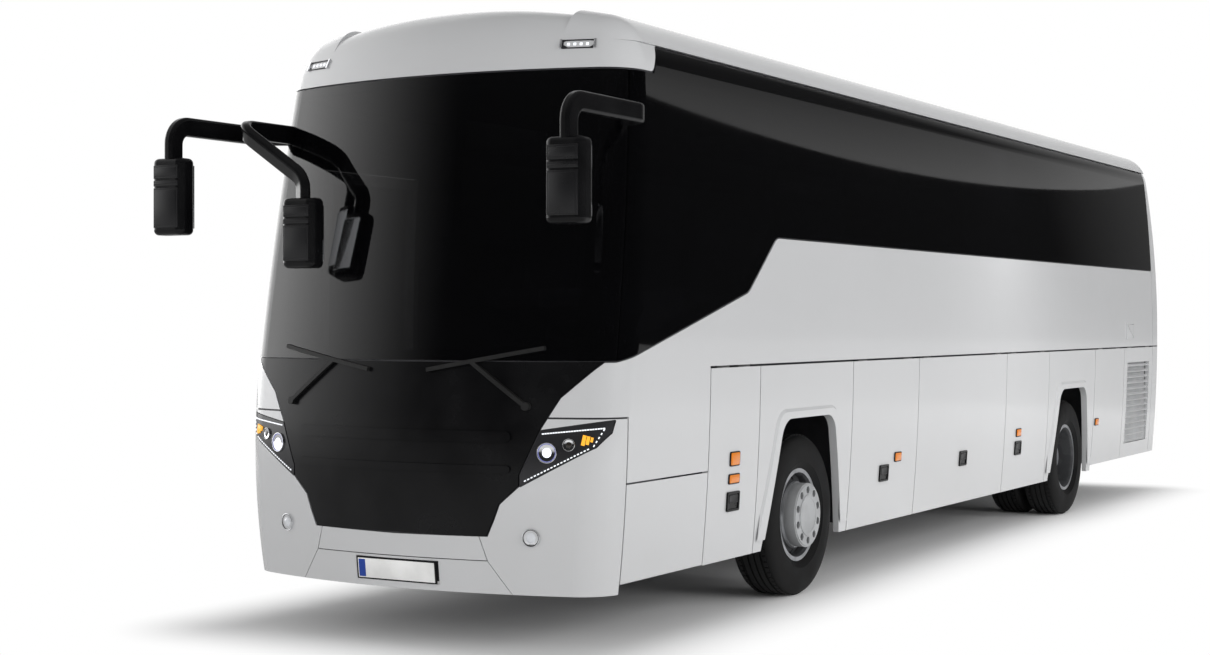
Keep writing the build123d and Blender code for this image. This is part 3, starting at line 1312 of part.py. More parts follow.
# Overhead luggage racks along both walls
RACK_INNER = 640
RACK_Z = 2900
RACK_THICKNESS = 50
RACK_LIP = 110
with BuildPart() as luggage_racks:
    add(cabin_form)
    with BuildSketch(Plane.YZ.offset(TAIL_EDGE_X)):
        for side in (1, -1):
            with Locations((side * (RACK_INNER + HALF_WIDTH) / 2, RACK_Z)):
                Rectangle(HALF_WIDTH - RACK_INNER, RACK_THICKNESS, align=(Align.CENTER, Align.MIN))
            with Locations((side * (RACK_INNER + RACK_THICKNESS / 2), RACK_Z)):
                Rectangle(RACK_THICKNESS, RACK_LIP, align=(Align.CENTER, Align.MIN))
    extrude(amount=drop_start_x - TAIL_EDGE_X, mode=Mode.INTERSECT)
save(luggage_racks, "luggage_racks")

# Dashboard with the steering column, and the steering wheel
DASH_REAR = 2030
DASH_TOP_Z = 1540
DASH_BROW_Z = 1420
DASH_SLOPE = 200
DASH_RIGHT = 500
COLUMN_TILT = 35
COLUMN_RADIUS = 35
WHEEL_X = 1770
WHEEL_Z = 1640
WHEEL_RADIUS = 225
WHEEL_GRIP = 16
WHEEL_HUB = 60
WHEEL_SPOKES = (90, 210, 330)
dash_x = FRONT_AXLE_X + DASH_REAR
column = Plane(
    origin=(FRONT_AXLE_X + WHEEL_X, DRIVER_SEAT_Y, WHEEL_Z),
    x_dir=(0, 1, 0),
    z_dir=(-sin(radians(COLUMN_TILT)), 0, cos(radians(COLUMN_TILT))),
)
column_length = (DASH_REAR - WHEEL_X) / sin(radians(COLUMN_TILT)) + 2 * COLUMN_RADIUS
with BuildPart() as dashboard:
    add(cabin_form)
    with BuildSketch(Plane.XZ.offset(DASH_RIGHT)):
        with BuildLine():
            Polyline(
                (dash_x, PLATFORM_Z),
                (NOSE_X, PLATFORM_Z),
                (NOSE_X, DASH_TOP_Z),
                (dash_x + DASH_SLOPE, DASH_TOP_Z),
                (dash_x, DASH_BROW_Z),
                close=True,
            )
        make_face()
    extrude(amount=-FAR, mode=Mode.INTERSECT)
    with BuildSketch(column.offset(-WHEEL_GRIP - SEAT_GAP)):
        Circle(COLUMN_RADIUS)
    extrude(amount=-column_length)
save(dashboard, "dashboard")

with BuildPart() as steering_wheel:
    with BuildSketch(Plane(origin=column.origin, x_dir=column.x_dir, z_dir=-column.y_dir)):
        with Locations((WHEEL_RADIUS, 0)):
            Circle(WHEEL_GRIP)
    revolve(axis=Axis(column.origin, column.z_dir))
    with BuildSketch(column.offset(-WHEEL_GRIP)):
        Circle(WHEEL_HUB)
        for turn in WHEEL_SPOKES:
            with Locations(Rot(0, 0, turn) * Pos(WHEEL_RADIUS / 2, 0)):
                Rectangle(WHEEL_RADIUS, 2 * WHEEL_GRIP)
    extrude(amount=WHEEL_GRIP)
save(steering_wheel, "steering_wheel")

# Entrance door: leaf, glass, and the swing arm on its post
DOOR_POST_INSET = 60
post_x = DOOR_FRONT_X - DOOR_POST_INSET
arm_y = -(side_half_width(DOOR_ARM_LOW_Z) - DOOR_ARM_DEPTH)
pin_x = post_x - DOOR_ARM
elbow_turn = radians(270 - DOOR_OPEN)
LUG = 20
LUG_RADIUS = 28
EYE = 30
PIN_GAP = 0.3
arm_high_z = DOOR_ARM_LOW_Z + DOOR_ARM_SECTION
lug_reach = DOOR_ARM_DEPTH - DOOR_THICKNESS / 2
with BuildPart() as front_door:
    add(door_layer.part)
    with BuildSketch(Plane.XZ):
        with Locations((DOOR_REAR_X, DOOR_LOW_Z)):
            Rectangle(DOOR_FRONT - DOOR_REAR, DOOR_HIGH_Z - DOOR_LOW_Z, align=(Align.MIN, Align.MIN))
        with Locations((DOOR_REAR_X + DOOR_BORDER, DOOR_SILL_Z)):
            Rectangle(
                DOOR_FRONT - DOOR_REAR - 2 * DOOR_BORDER,
                DOOR_HIGH_Z - DOOR_BORDER - DOOR_SILL_Z,
                align=(Align.MIN, Align.MIN),
                mode=Mode.SUBTRACT,
            )
    extrude(amount=FAR, mode=Mode.INTERSECT)
    for z in (DOOR_ARM_LOW_Z - LUG - PIN_GAP, arm_high_z + PIN_GAP):
        with BuildSketch(Plane.XY.offset(z)):
            with Locations((pin_x, arm_y)):
                Circle(LUG_RADIUS)
                Rectangle(2 * LUG_RADIUS, lug_reach, align=(Align.CENTER, Align.MAX))
        extrude(amount=LUG)
    with BuildSketch(Plane.XY.offset(DOOR_ARM_LOW_Z - LUG)):
        with Locations((pin_x, arm_y)):
            Circle(DOOR_PIN_RADIUS)
    extrude(amount=DOOR_ARM_SECTION + 2 * LUG)
save(front_door, "front_door")

with BuildPart() as front_door_glass:
    add(skin_layer.part)
    with BuildSketch(Plane.XZ):
        with Locations((DOOR_REAR_X + DOOR_BORDER + SEAT_GAP, DOOR_SILL_Z + SEAT_GAP)):
            Rectangle(
                DOOR_FRONT - DOOR_REAR - 2 * (DOOR_BORDER + SEAT_GAP),
                DOOR_HIGH_Z - DOOR_BORDER - DOOR_SILL_Z - 2 * SEAT_GAP,
                align=(Align.MIN, Align.MIN),
            )
    extrude(amount=FAR, mode=Mode.INTERSECT)
save(front_door_glass, "front_door_glass")

BRACKET = 20
POST_TOP_Z = 1500
bracket_low_z = DOOR_ARM_LOW_Z - 2 * BRACKET
with BuildPart() as front_door_arm:
    with BuildSketch(Plane.XY.offset(DOOR_ARM_LOW_Z)):
        with BuildLine():
            Polyline(
                (post_x, arm_y),
                (post_x + DOOR_ELBOW * cos(elbow_turn), arm_y + DOOR_ELBOW * sin(elbow_turn)),
                (pin_x, arm_y),
            )
        trace(line_width=DOOR_ARM_SECTION)
        with Locations((post_x, arm_y), (pin_x, arm_y)):
            Circle(EYE)
    extrude(amount=DOOR_ARM_SECTION)
    with BuildSketch(Plane.XY.offset(DOOR_ARM_LOW_Z)):
        with Locations((pin_x, arm_y)):
            Circle(DOOR_PIN_RADIUS + PIN_GAP)
    extrude(amount=DOOR_ARM_SECTION, mode=Mode.SUBTRACT)
    with BuildSketch(Plane.XY.offset(bracket_low_z)):
        with Locations((post_x, arm_y)):
            Circle(DOOR_POST_RADIUS)
    extrude(amount=POST_TOP_Z - bracket_low_z)
save(front_door_arm, "front_door_arm")

BRACKET_DEPTH = 110
with BuildPart() as door_brackets:
    add(cabin_form)
    with BuildSketch(Plane.XY):
        with Locations((post_x - EYE - LUG, -HALF_WIDTH)):
            Rectangle(
                FRONT_AXLE_X + BROW_STEP - post_x,
                WALL + BRACKET_DEPTH,
                align=(Align.MIN, Align.MIN),
            )
        with Locations((post_x, arm_y)):
            Circle(DOOR_POST_RADIUS + PIN_GAP, mode=Mode.SUBTRACT)
    extrude(amount=SKY_Z, mode=Mode.INTERSECT)
    with BuildSketch(Plane.XZ):
        for z in (bracket_low_z, POST_TOP_Z - BRACKET):
            with Locations((DOOR_FRONT_X, z)):
                Rectangle(BODY_WIDTH, BRACKET, align=(Align.CENTER, Align.MIN))
    extrude(amount=FAR, both=True, mode=Mode.INTERSECT)
save(door_brackets, "door_brackets")

# Mirrors: flat curved arms from the windscreen pillars with hanging heads
MIRROR_MOUNT = 2230
MIRROR_MOUNT_Z = 2900
MIRROR_ARM_WIDTH = 60
MIRROR_ARM_HEIGHT = 110
MIRROR_BEND = 110
MIRROR_HALF = 1320
MIRROR_HEAD_DEPTH = 130
MIRROR_HEAD_WIDTH = 230
MIRROR_HEAD_LOW_Z = 2270
MIRROR_HEAD_HEIGHT = 440
MIRROR_HEAD_ROUND = 45
MIRROR_EDGE = 30
INNER_HEAD_Y = -640
INNER_HEAD_X = 2790
INNER_HEAD_LOW_Z = 2080
INNER_HEAD_HEIGHT = 400
mount_x = FRONT_AXLE_X + MIRROR_MOUNT
head_x = NOSE_X + MIRROR_REACH - MIRROR_HEAD_DEPTH / 2
mount_y = side_half_width(MIRROR_MOUNT_Z)
inner_x = FRONT_AXLE_X + INNER_HEAD_X
# Arms: points from inside the pillar to the head
left_arm = (
    (mount_x, mount_y - MIRROR_BEND, MIRROR_MOUNT_Z),
    (mount_x + MIRROR_BEND, MIRROR_HALF, MIRROR_MOUNT_Z),
    (head_x, MIRROR_HALF, MIRROR_MOUNT_Z),
    (head_x, MIRROR_HALF, MIRROR_HEAD_LOW_Z + MIRROR_HEAD_HEIGHT / 2),
)
right_arm = [(x, -y, z) for x, y, z in left_arm]
inner_arm = (
    (mount_x, -mount_y + MIRROR_BEND, MIRROR_MOUNT_Z),
    (inner_x, -mount_y + MIRROR_BEND, MIRROR_MOUNT_Z),
    (inner_x, INNER_HEAD_Y, INNER_HEAD_LOW_Z + INNER_HEAD_HEIGHT + MIRROR_ARM_HEIGHT),
    (inner_x, INNER_HEAD_Y, INNER_HEAD_LOW_Z + INNER_HEAD_HEIGHT / 2),
)
# Heads: middle X, middle Y, bottom, height
MIRROR_HEADS = (
    (head_x, MIRROR_HALF, MIRROR_HEAD_LOW_Z, MIRROR_HEAD_HEIGHT),
    (head_x, -MIRROR_HALF, MIRROR_HEAD_LOW_Z, MIRROR_HEAD_HEIGHT),
    (inner_x, INNER_HEAD_Y, INNER_HEAD_LOW_Z, INNER_HEAD_HEIGHT),
)
with BuildPart() as mirrors:
    for x, y, low, height in MIRROR_HEADS:
        with BuildSketch(Plane.XY.offset(low)):
            with Locations((x, y)):
                RectangleRounded(MIRROR_HEAD_DEPTH, MIRROR_HEAD_WIDTH, MIRROR_HEAD_ROUND)
        extrude(amount=height)
    fillet(mirrors.faces().filter_by(Axis.Z).edges(), radius=MIRROR_EDGE)
    for points in (left_arm, right_arm, inner_arm):
        with BuildLine() as arm_path:
            FilletPolyline(*points, radius=MIRROR_BEND)
        with BuildSketch(Plane(origin=arm_path.line @ 0, x_dir=(0, 0, 1), z_dir=arm_path.line % 0)):
            RectangleRounded(MIRROR_ARM_HEIGHT, MIRROR_ARM_WIDTH, MIRROR_ARM_WIDTH / 3)
        sweep(path=arm_path.line)
    add(clear_form, mode=Mode.SUBTRACT)
save(mirrors, "mirrors")

# Wipers: opposed arms on the mask with blades along the foot of the windscreen
WIPER_HEIGHT = 25
WIPER_WIDTH = 22
WIPER_PIVOT = (800, 1320)
WIPER_ELBOW = (470, 1558)
WIPER_BLADE = ((200, 1512), (880, 1634))
wiper_face = body_form(-WIPER_HEIGHT)
with BuildPart() as wipers:
    add(wiper_face)
    with BuildSketch(Plane.YZ.offset(BUMPER_X)):
        with BuildLine():
            Line(WIPER_PIVOT, WIPER_ELBOW)
            Line(*WIPER_BLADE)
        trace(line_width=WIPER_WIDTH)
        with Locations(WIPER_PIVOT):
            Circle(WIPER_WIDTH)
        mirror(about=Plane.YZ)
    extrude(amount=FRONT_OVERHANG, mode=Mode.INTERSECT)
    add(clear_form, mode=Mode.SUBTRACT)
save(wipers, "wipers")
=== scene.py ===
import json
from math import atan2, cos, pi, radians, sin, sqrt, tan

import bmesh
import bpy
from mathutils import Matrix, Vector


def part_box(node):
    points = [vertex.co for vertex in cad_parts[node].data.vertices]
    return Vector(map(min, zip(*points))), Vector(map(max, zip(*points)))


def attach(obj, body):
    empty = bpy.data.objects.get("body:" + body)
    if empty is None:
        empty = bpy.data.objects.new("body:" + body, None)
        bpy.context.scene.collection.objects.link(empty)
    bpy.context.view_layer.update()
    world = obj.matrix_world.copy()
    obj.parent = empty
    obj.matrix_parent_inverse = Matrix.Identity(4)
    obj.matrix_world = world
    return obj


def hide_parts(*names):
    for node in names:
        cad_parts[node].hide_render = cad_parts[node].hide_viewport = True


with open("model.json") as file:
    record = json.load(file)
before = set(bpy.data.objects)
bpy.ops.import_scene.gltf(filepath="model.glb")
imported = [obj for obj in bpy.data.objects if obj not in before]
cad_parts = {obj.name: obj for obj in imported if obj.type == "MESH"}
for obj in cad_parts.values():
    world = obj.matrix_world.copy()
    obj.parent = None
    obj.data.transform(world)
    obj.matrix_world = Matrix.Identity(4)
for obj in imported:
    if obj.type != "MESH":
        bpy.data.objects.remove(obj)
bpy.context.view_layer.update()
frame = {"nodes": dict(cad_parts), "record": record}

nodes = frame["nodes"]

# The photograph's frame and the camera fitted to it
PHOTO_WIDTH = 1210
PHOTO_MIDDLE = (605.0, 327.5)
FOCAL_PIXELS = 1914
CAMERA_PLACE = (14.47, 6.28, 1.785)
CAMERA_AIM = (-0.868, -0.497, 0.0)
HORIZON_RISE_PIXELS = 7.5

# Places read from the frame
FRONT_AXLE_X = (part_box("front_left_rim")[0].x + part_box("front_left_rim")[1].x) / 2
REAR_AXLE_X = (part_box("rear_left_rims")[0].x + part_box("rear_left_rims")[1].x) / 2
AXLE_Z = (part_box("front_left_tyre")[0].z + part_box("front_left_tyre")[1].z) / 2
NOSE_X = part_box("bumper")[1].x
TAIL_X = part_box("rear_shell")[0].x
FLOOR_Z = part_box("saloon_floor")[1].z
PLATFORM_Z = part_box("dashboard")[0].z
SIDES = (("left", 1), ("right", -1))

# Values that all finishes share
NOISE_ROUGHNESS = 0.5
BUMP_DISTANCE = 0.002


class Value:
    """A shader socket that takes part in sums, products and comparisons."""

    def __init__(self, tree, socket):
        self.tree = tree
        self.socket = socket

    def math(self, operation, first, second):
        """Add one arithmetic node fed by two values or numbers, and give back its output."""
        node = self.tree.nodes.new("ShaderNodeMath")
        node.operation = operation
        for index, term in enumerate((first, second)):
            if isinstance(term, Value):
                self.tree.links.new(term.socket, node.inputs[index])
            else:
                node.inputs[index].default_value = term
        return Value(self.tree, node.outputs[0])

    def __add__(self, other):
        return self.math("ADD", self, other)

    __radd__ = __add__

    def __sub__(self, other):
        return self.math("SUBTRACT", self, other)

    def __rsub__(self, other):
        return self.math("SUBTRACT", other, self)

    def __mul__(self, other):
        return self.math("MULTIPLY", self, other)

    __rmul__ = __mul__

    def __truediv__(self, other):
        return self.math("DIVIDE", self, other)

    def __pow__(self, other):
        return self.math("POWER", self, other)

    def __gt__(self, other):
        return self.math("GREATER_THAN", self, other)

    def __lt__(self, other):
        return self.math("LESS_THAN", self, other)


class Nodes:
    """A node tree, a method that adds any node to it, and short ways to common nodes."""

    def __init__(self, tree):
        self.tree = tree

    def node(self, kind, settings=None, inputs=None, out=0):
        """Add one node, set it, feed it, and give back one of its outputs."""
        made = self.tree.nodes.new(kind)
        for key, value in (settings or {}).items():
            setattr(made, key, value)
        for key, value in (inputs or {}).items():
            if isinstance(value, Value):
                self.tree.links.new(value.socket, made.inputs[key])
            else:
                made.inputs[key].default_value = value
        return Value(self.tree, made.outputs[out])

    def place(self):
        """Object coordinates, in metres in the vehicle's frame."""
        return self.node("ShaderNodeTexCoord", out="Object")

    def axis(self, letter):
        """One of the object coordinates."""
        return self.node("ShaderNodeSeparateXYZ", inputs={"Vector": self.place()}, out="XYZ".index(letter))

    def noise(self, scale, detail, stretch=(1, 1, 1)):
        """Cloudy variation between 0 and 1."""
        where = self.node("ShaderNodeMapping", inputs={"Vector": self.place(), "Scale": stretch})
        inputs = {"Vector": where, "Scale": scale, "Detail": detail, "Roughness": NOISE_ROUGHNESS}
        return self.node("ShaderNodeTexNoise", inputs=inputs)

    def waves(self, letter, scale):
        """Bands across one of the object's axes, between 0 and 1."""
        inputs = {"Vector": self.place(), "Scale": scale}
        return self.node("ShaderNodeTexWave", {"bands_direction": letter}, inputs)

    def spread(self, value, low, high, to_low=0.0, to_high=1.0):
        """Map one span of values onto another, held at its ends."""
        return self.node(
            "ShaderNodeMapRange",
            inputs={"Value": value, "From Min": low, "From Max": high, "To Min": to_low, "To Max": to_high},
        )

    def blend(self, amount, first, second):
        """Mix two colours."""
        inputs = {0: amount}
        for index, colour in ((6, first), (7, second)):
            inputs[index] = colour if isinstance(colour, Value) else (*colour, 1.0)
        return self.node("ShaderNodeMix", {"data_type": "RGBA"}, inputs, out=2)


class Finish(Nodes):
    """A surface finish: one material and its main shader."""

    def __init__(self, name, **sockets):
        self.material = bpy.data.materials.new(name)
        self.material.use_nodes = True
        super().__init__(self.material.node_tree)
        self.shader = self.tree.nodes["Principled BSDF"]
        for socket, value in sockets.items():
            self.shader.inputs[socket.replace("_", " ")].default_value = value

    def feed(self, socket, value):
        """Link a value to the main shader."""
        self.tree.links.new(value.socket, self.shader.inputs[socket])

    def bump(self, height, strength):
        """Roughen the surface by a height."""
        inputs = {"Height": height, "Strength": strength, "Distance": BUMP_DISTANCE}
        self.feed("Normal", self.node("ShaderNodeBump", inputs=inputs))


# Finishes

# The painted shade along the flaps' hinge gap, dark over the white hinge knuckles too: its heights and its
# front end
HINGE_SHADE_HEIGHTS = (1.5035, 1.5165)
HINGE_SHADE_FRONT_X = 4.49
# Inner and outer radius of the painted shade in a wheel's sunk dish
DISH_SHADE_RADII = (0.218, 0.274)


def toned(colour, factor):
    """A colour made lighter or darker."""
    return [part * factor for part in colour]


def paint_finish(name, colour, dirt):
    """Glossy coachwork paint with a faint orange peel, road film low down and a painted shade line along the
    flaps' hinge gap.
    """
    finish = Finish(name, Coat_Weight=0.5, Coat_Roughness=0.05, Specular_IOR_Level=0.5)
    height = finish.axis("Z")
    film = finish.spread(height, 0.95, 0.30) * finish.spread(finish.noise(1.1, 4.0), 0.35, 0.75) * dirt
    tone = finish.blend(finish.spread(finish.noise(0.6, 2.0), 0.3, 0.7), colour, toned(colour, 0.965))
    # Painted shade: a dark band where the hinge gap lies in shade, painted over the hinge knuckles as well.
    hinge_gap_shade = (height > HINGE_SHADE_HEIGHTS[0]) * (height < HINGE_SHADE_HEIGHTS[1]) * (finish.axis("X") < HINGE_SHADE_FRONT_X)
    clean = finish.blend(film, tone, (0.42, 0.39, 0.35))
    finish.feed("Base Color", finish.blend(hinge_gap_shade, clean, (0.02, 0.02, 0.021)))
    finish.feed("Roughness", 0.2 + finish.noise(7.0, 3.0) * 0.06 + film * 0.4)
    finish.bump(finish.noise(260.0, 1.0), 0.012)
    return finish.material


def glass_finish(name, colour, alpha_low, alpha_high):
    """Dark tinted glass with faint streaks in its gloss."""
    finish = Finish(name, IOR=1.5, Specular_IOR_Level=0.5)
    streak = finish.noise(0.9, 3.0, stretch=(0.3, 1.0, 2.5))
    finish.feed("Base Color", finish.blend(finish.spread(streak, 0.3, 0.7), colour, toned(colour, 0.6)))
    finish.feed("Roughness", 0.015 + finish.noise(3.0, 4.0) * 0.03)
    finish.feed("Alpha", finish.spread(streak, 0.2, 0.8, alpha_low, alpha_high))
    return finish.material


def plastic_finish(name, colour, rough, grain, depth, shine=0.4):
    """Moulded plastic with a fine grain and a little handling wear."""
    finish = Finish(name, Specular_IOR_Level=shine)
    cloud = finish.noise(4.0, 4.0)
    worn = [part + 0.003 for part in toned(colour, 1.35)]
    finish.feed("Base Color", finish.blend(finish.spread(cloud, 0.3, 0.7), colour, worn))
    finish.feed("Roughness", rough - 0.05 + cloud * 0.12)
    finish.bump(finish.noise(grain, 2.0), depth)
    return finish.material


def metal_finish(name, colour, rough, metallic, grime, wheel=False):
    """Worked metal with uneven polish, grime in patches and, on a wheel, painted shade in its sunk dish."""
    finish = Finish(name, Metallic=metallic)
    grime_and_dish_shade = finish.spread(finish.noise(9.0, 5.0), 0.45, 0.75) * grime
    # On a wheel: a dark ring painted where the sunk dish with its hand holes lies in shade; it also roughens
    # the metal there.
    if wheel:
        along, up = finish.axis("X"), finish.axis("Z") - AXLE_Z
        along = along - REAR_AXLE_X - (along > 0.0) * (FRONT_AXLE_X - REAR_AXLE_X)
        radius = (along * along + up * up) ** 0.5
        grime_and_dish_shade = grime_and_dish_shade + (radius > DISH_SHADE_RADII[0]) * (radius < DISH_SHADE_RADII[1]) * 0.9
    finish.feed("Base Color", finish.blend(grime_and_dish_shade, colour, toned(colour, 0.35)))
    finish.feed("Roughness", rough + grime_and_dish_shade * 0.35)
    finish.bump(finish.noise(120.0, 2.0), 0.05)
    return finish.material


def lens_finish(name, colour, glow, strength):
    """A lamp lens with fine moulded ribs, lit from behind."""
    finish = Finish(name, Roughness=0.12, Coat_Weight=0.6, Emission_Strength=strength)
    finish.shader.inputs["Emission Color"].default_value = (*glow, 1.0)
    ribs = finish.waves("Z", 60.0)
    finish.feed("Base Color", finish.blend(ribs, colour, toned(colour, 0.7)))
    finish.bump(ribs, 0.15)
    return finish.material


def tyre_finish():
    """Black rubber, greyer and dustier in patches."""
    finish = Finish("tyre_rubber", Specular_IOR_Level=0.3)
    dust = finish.spread(finish.noise(6.0, 5.0), 0.4, 0.8) * 0.5
    finish.feed("Base Color", finish.blend(dust, (0.006, 0.006, 0.0065), (0.024, 0.023, 0.022)))
    finish.feed("Roughness", 0.62 + dust * 0.4)
    finish.bump(finish.noise(300.0, 2.0), 0.08)
    return finish.material


def cloth_finish():
    """Woven seat cloth: fine crossed threads in dark blue-grey."""
    finish = Finish("seat_cloth", Roughness=0.9, Sheen_Weight=0.3, Sheen_Roughness=0.5)
    weave = finish.waves("Y", 90.0) * finish.waves("Z", 90.0)
    tone = finish.spread(finish.noise(5.0, 4.0), 0.35, 0.65)
    colour = finish.blend(tone, (0.035, 0.038, 0.05), (0.055, 0.06, 0.08))
    finish.feed("Base Color", finish.blend(weave * 0.5, colour, (0.11, 0.115, 0.13)))
    finish.bump(weave, 0.25)
    return finish.material


WHITE = (0.66, 0.665, 0.675)
# Each finish: its name, its colour, then the values that its function asks for
finishes = {
    "body_paint": paint_finish("body_paint", WHITE, 0.12),
    "tinted_glass": glass_finish("tinted_glass", (0.002, 0.002, 0.0025), 0.87, 0.91),
    "screen_glass": glass_finish("screen_glass", (0.002, 0.002, 0.0025), 0.84, 0.88),
    "black_trim": plastic_finish("black_trim", (0.003, 0.003, 0.0035), 0.24, 220.0, 0.01, 0.22),
    "black_rubber": plastic_finish("black_rubber", (0.010, 0.010, 0.010), 0.6, 300.0, 0.05),
    "clear_lamp": plastic_finish("clear_lamp", (0.02, 0.02, 0.022), 0.15, 150.0, 0.01),
    "red_lamp": lens_finish("red_lamp", (0.32, 0.006, 0.006), (0.5, 0.01, 0.01), 0.05),
    "frame_paint": metal_finish("frame_paint", (0.05, 0.05, 0.055), 0.5, 0.0, 0.5),
    "floor_cover": plastic_finish("floor_cover", (0.09, 0.09, 0.1), 0.6, 160.0, 0.12),
    "dash_plastic": plastic_finish("dash_plastic", (0.03, 0.03, 0.033), 0.55, 260.0, 0.12),
    "seat_cloth": cloth_finish(),
    "seat_steel": metal_finish("seat_steel", (0.04, 0.04, 0.042), 0.45, 0.3, 0.4),
    "engine_iron": metal_finish("engine_iron", (0.16, 0.16, 0.17), 0.6, 0.4, 0.8),
    "axle_steel": metal_finish("axle_steel", (0.10, 0.10, 0.105), 0.55, 0.5, 0.8),
    "wheel_steel": metal_finish("wheel_steel", (0.46, 0.47, 0.49), 0.3, 0.8, 0.4, wheel=True),
    "tyre_rubber": tyre_finish(),
}
hub_metal = metal_finish("hub_metal", (0.52, 0.53, 0.54), 0.35, 0.35, 0.2)
chrome = metal_finish("chrome", (0.85, 0.86, 0.88), 0.08, 1.0, 0.15)
mirror_glass = metal_finish("mirror_glass", (0.75, 0.77, 0.80), 0.03, 1.0, 0.05)
mirror_shell = plastic_finish("mirror_shell", (0.008, 0.008, 0.009), 0.28, 200.0, 0.02)
projector_glow = lens_finish("projector_glow", (0.8, 0.84, 0.95), (0.86, 0.88, 1.0), 1.6)
projector_halo = lens_finish("projector_halo", (0.05, 0.05, 0.08), (0.30, 0.33, 0.95), 0.45)
dark_lens = lens_finish("dark_lens", (0.03, 0.024, 0.02), (0.0, 0.0, 0.0), 0.0)
vent_mesh = plastic_finish("vent_mesh", (0.34, 0.345, 0.35), 0.5, 400.0, 0.2)
led_glow = lens_finish("led_glow", (0.9, 0.91, 0.95), (0.92, 0.95, 1.0), 0.7)
amber_lens = lens_finish("amber_lens", (0.80, 0.22, 0.004), (1.0, 0.30, 0.01), 0.18)
amber_glow = lens_finish("amber_glow", (0.80, 0.36, 0.02), (1.0, 0.50, 0.05), 0.7)
white_lens = lens_finish("white_lens", (0.75, 0.77, 0.8), (0.9, 0.92, 1.0), 0.1)
plate_white = plastic_finish("plate_white", (0.78, 0.78, 0.77), 0.4, 200.0, 0.02)
plate_blue = plastic_finish("plate_blue", (0.01, 0.045, 0.28), 0.4, 200.0, 0.02)


def dress_nodes():
    """Give every frame node the finish of its record slot."""
    for sub in frame["record"]["subparts"]:
        mesh = nodes[sub["node"]].data
        mesh.materials.clear()
        mesh.materials.append(finishes[sub["material_slot"]])


# Ways of working on a piece

def fresh():
    """Leave nothing selected before a new piece is started."""
    bpy.ops.object.select_all(action="DESELECT")


def only(piece):
    """Select one piece and make it the one that is worked on."""
    fresh()
    piece.select_set(True)
    bpy.context.view_layer.objects.active = piece


def slab(size, place=(0, 0, 0)):
    """A block of a size, ready to be shaped."""
    fresh()
    bpy.ops.mesh.primitive_cube_add(size=1.0, location=place)
    piece = bpy.context.object
    piece.scale = size
    bpy.ops.object.transform_apply(location=True, rotation=True, scale=True)
    return piece


def drum(radius, depth, corners=40):
    """A round block that stands on its end, ready to be shaped."""
    fresh()
    bpy.ops.mesh.primitive_cylinder_add(vertices=corners, radius=radius, depth=depth)
    return bpy.context.object


def edit(piece, test):
    """Open a piece with the faces that pass a test selected."""
    only(piece)
    bpy.ops.object.mode_set(mode="EDIT")
    bpy.ops.mesh.select_mode(type="FACE")
    mesh = bmesh.from_edit_mesh(piece.data)
    for face in mesh.faces:
        face.select_set(test(face.calc_center_median(), face.normal))
    bmesh.update_edit_mesh(piece.data)


def close():
    """End the shaping of a piece."""
    bpy.ops.object.mode_set(mode="OBJECT")


def dish(piece, steps):
    """Inset the top face and raise or sink it, once for each (border, rise)."""
    top = max(corner[2] for corner in piece.bound_box)
    edit(piece, lambda centre, normal: normal.z > 0.9 and centre.z > top - 1e-4)
    for border, rise in steps:
        bpy.ops.mesh.inset(thickness=border)
        bpy.ops.mesh.extrude_region_move(TRANSFORM_OT_translate={"value": (0, 0, rise)})
    close()


def round_corners(piece, radius):
    """Round a block's four upright edges."""
    only(piece)
    bpy.ops.object.mode_set(mode="EDIT")
    bpy.ops.mesh.select_mode(type="EDGE")
    mesh = bmesh.from_edit_mesh(piece.data)
    for edge in mesh.edges:
        span = edge.verts[0].co - edge.verts[1].co
        edge.select_set(abs(span.z) > 0.99 * span.length)
    bmesh.update_edit_mesh(piece.data)
    bpy.ops.mesh.bevel(offset=radius, segments=5)
    close()


def soften(piece, width, segments=3):
    """Round a piece's sharp edges."""
    only(piece)
    edge = piece.modifiers.new("edge", "BEVEL")
    edge.width = width
    edge.segments = segments
    edge.limit_method = "ANGLE"
    bpy.ops.object.modifier_apply(modifier=edge.name)


def coat(piece, material):
    """Give a whole piece one finish."""
    piece.data.materials.clear()
    piece.data.materials.append(material)
    return piece


def copy_of(piece):
    """A copy with its own mesh."""
    twin = piece.copy()
    twin.data = piece.data.copy()
    bpy.context.scene.collection.objects.link(twin)
    return twin


def join(pieces):
    """Make several pieces one, their finishes kept."""
    fresh()
    for piece in pieces:
        piece.select_set(True)
    bpy.context.view_layer.objects.active = pieces[0]
    if len(pieces) > 1:
        bpy.ops.object.join()
    return pieces[0]


def settle(piece, name, body, angle=35):
    """Fix a piece's place in its mesh, smooth it, name it and let it ride a body."""
    only(piece)
    bpy.ops.object.transform_apply(location=True, rotation=True, scale=True)
    bpy.ops.object.shade_smooth_by_angle(angle=radians(angle))
    piece.name = name
    piece.data.name = name
    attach(piece, body)
    return piece


def skin_at(node, start, aim):
    """Where a straight line first meets a node: the point and the skin's outward normal."""
    found, point, normal, _ = nodes[node].ray_cast(Vector(start), Vector(aim).normalized())
    if not found:
        raise ValueError(f"nothing of {node} lies there")
    return point, normal


def stand(piece, point, normal, rise=0.0, turn=0.0):
    """Move a piece made at the origin, facing up, to stand on a skin with its own Y upright."""
    across = Vector((0, 0, 1)).cross(normal).normalized()
    upright = normal.cross(across)
    facing = Matrix((across, upright, normal)).transposed().to_4x4()
    piece.matrix_world = Matrix.Translation(point + normal * rise) @ facing @ Matrix.Rotation(turn, 4, "Z")
    return piece


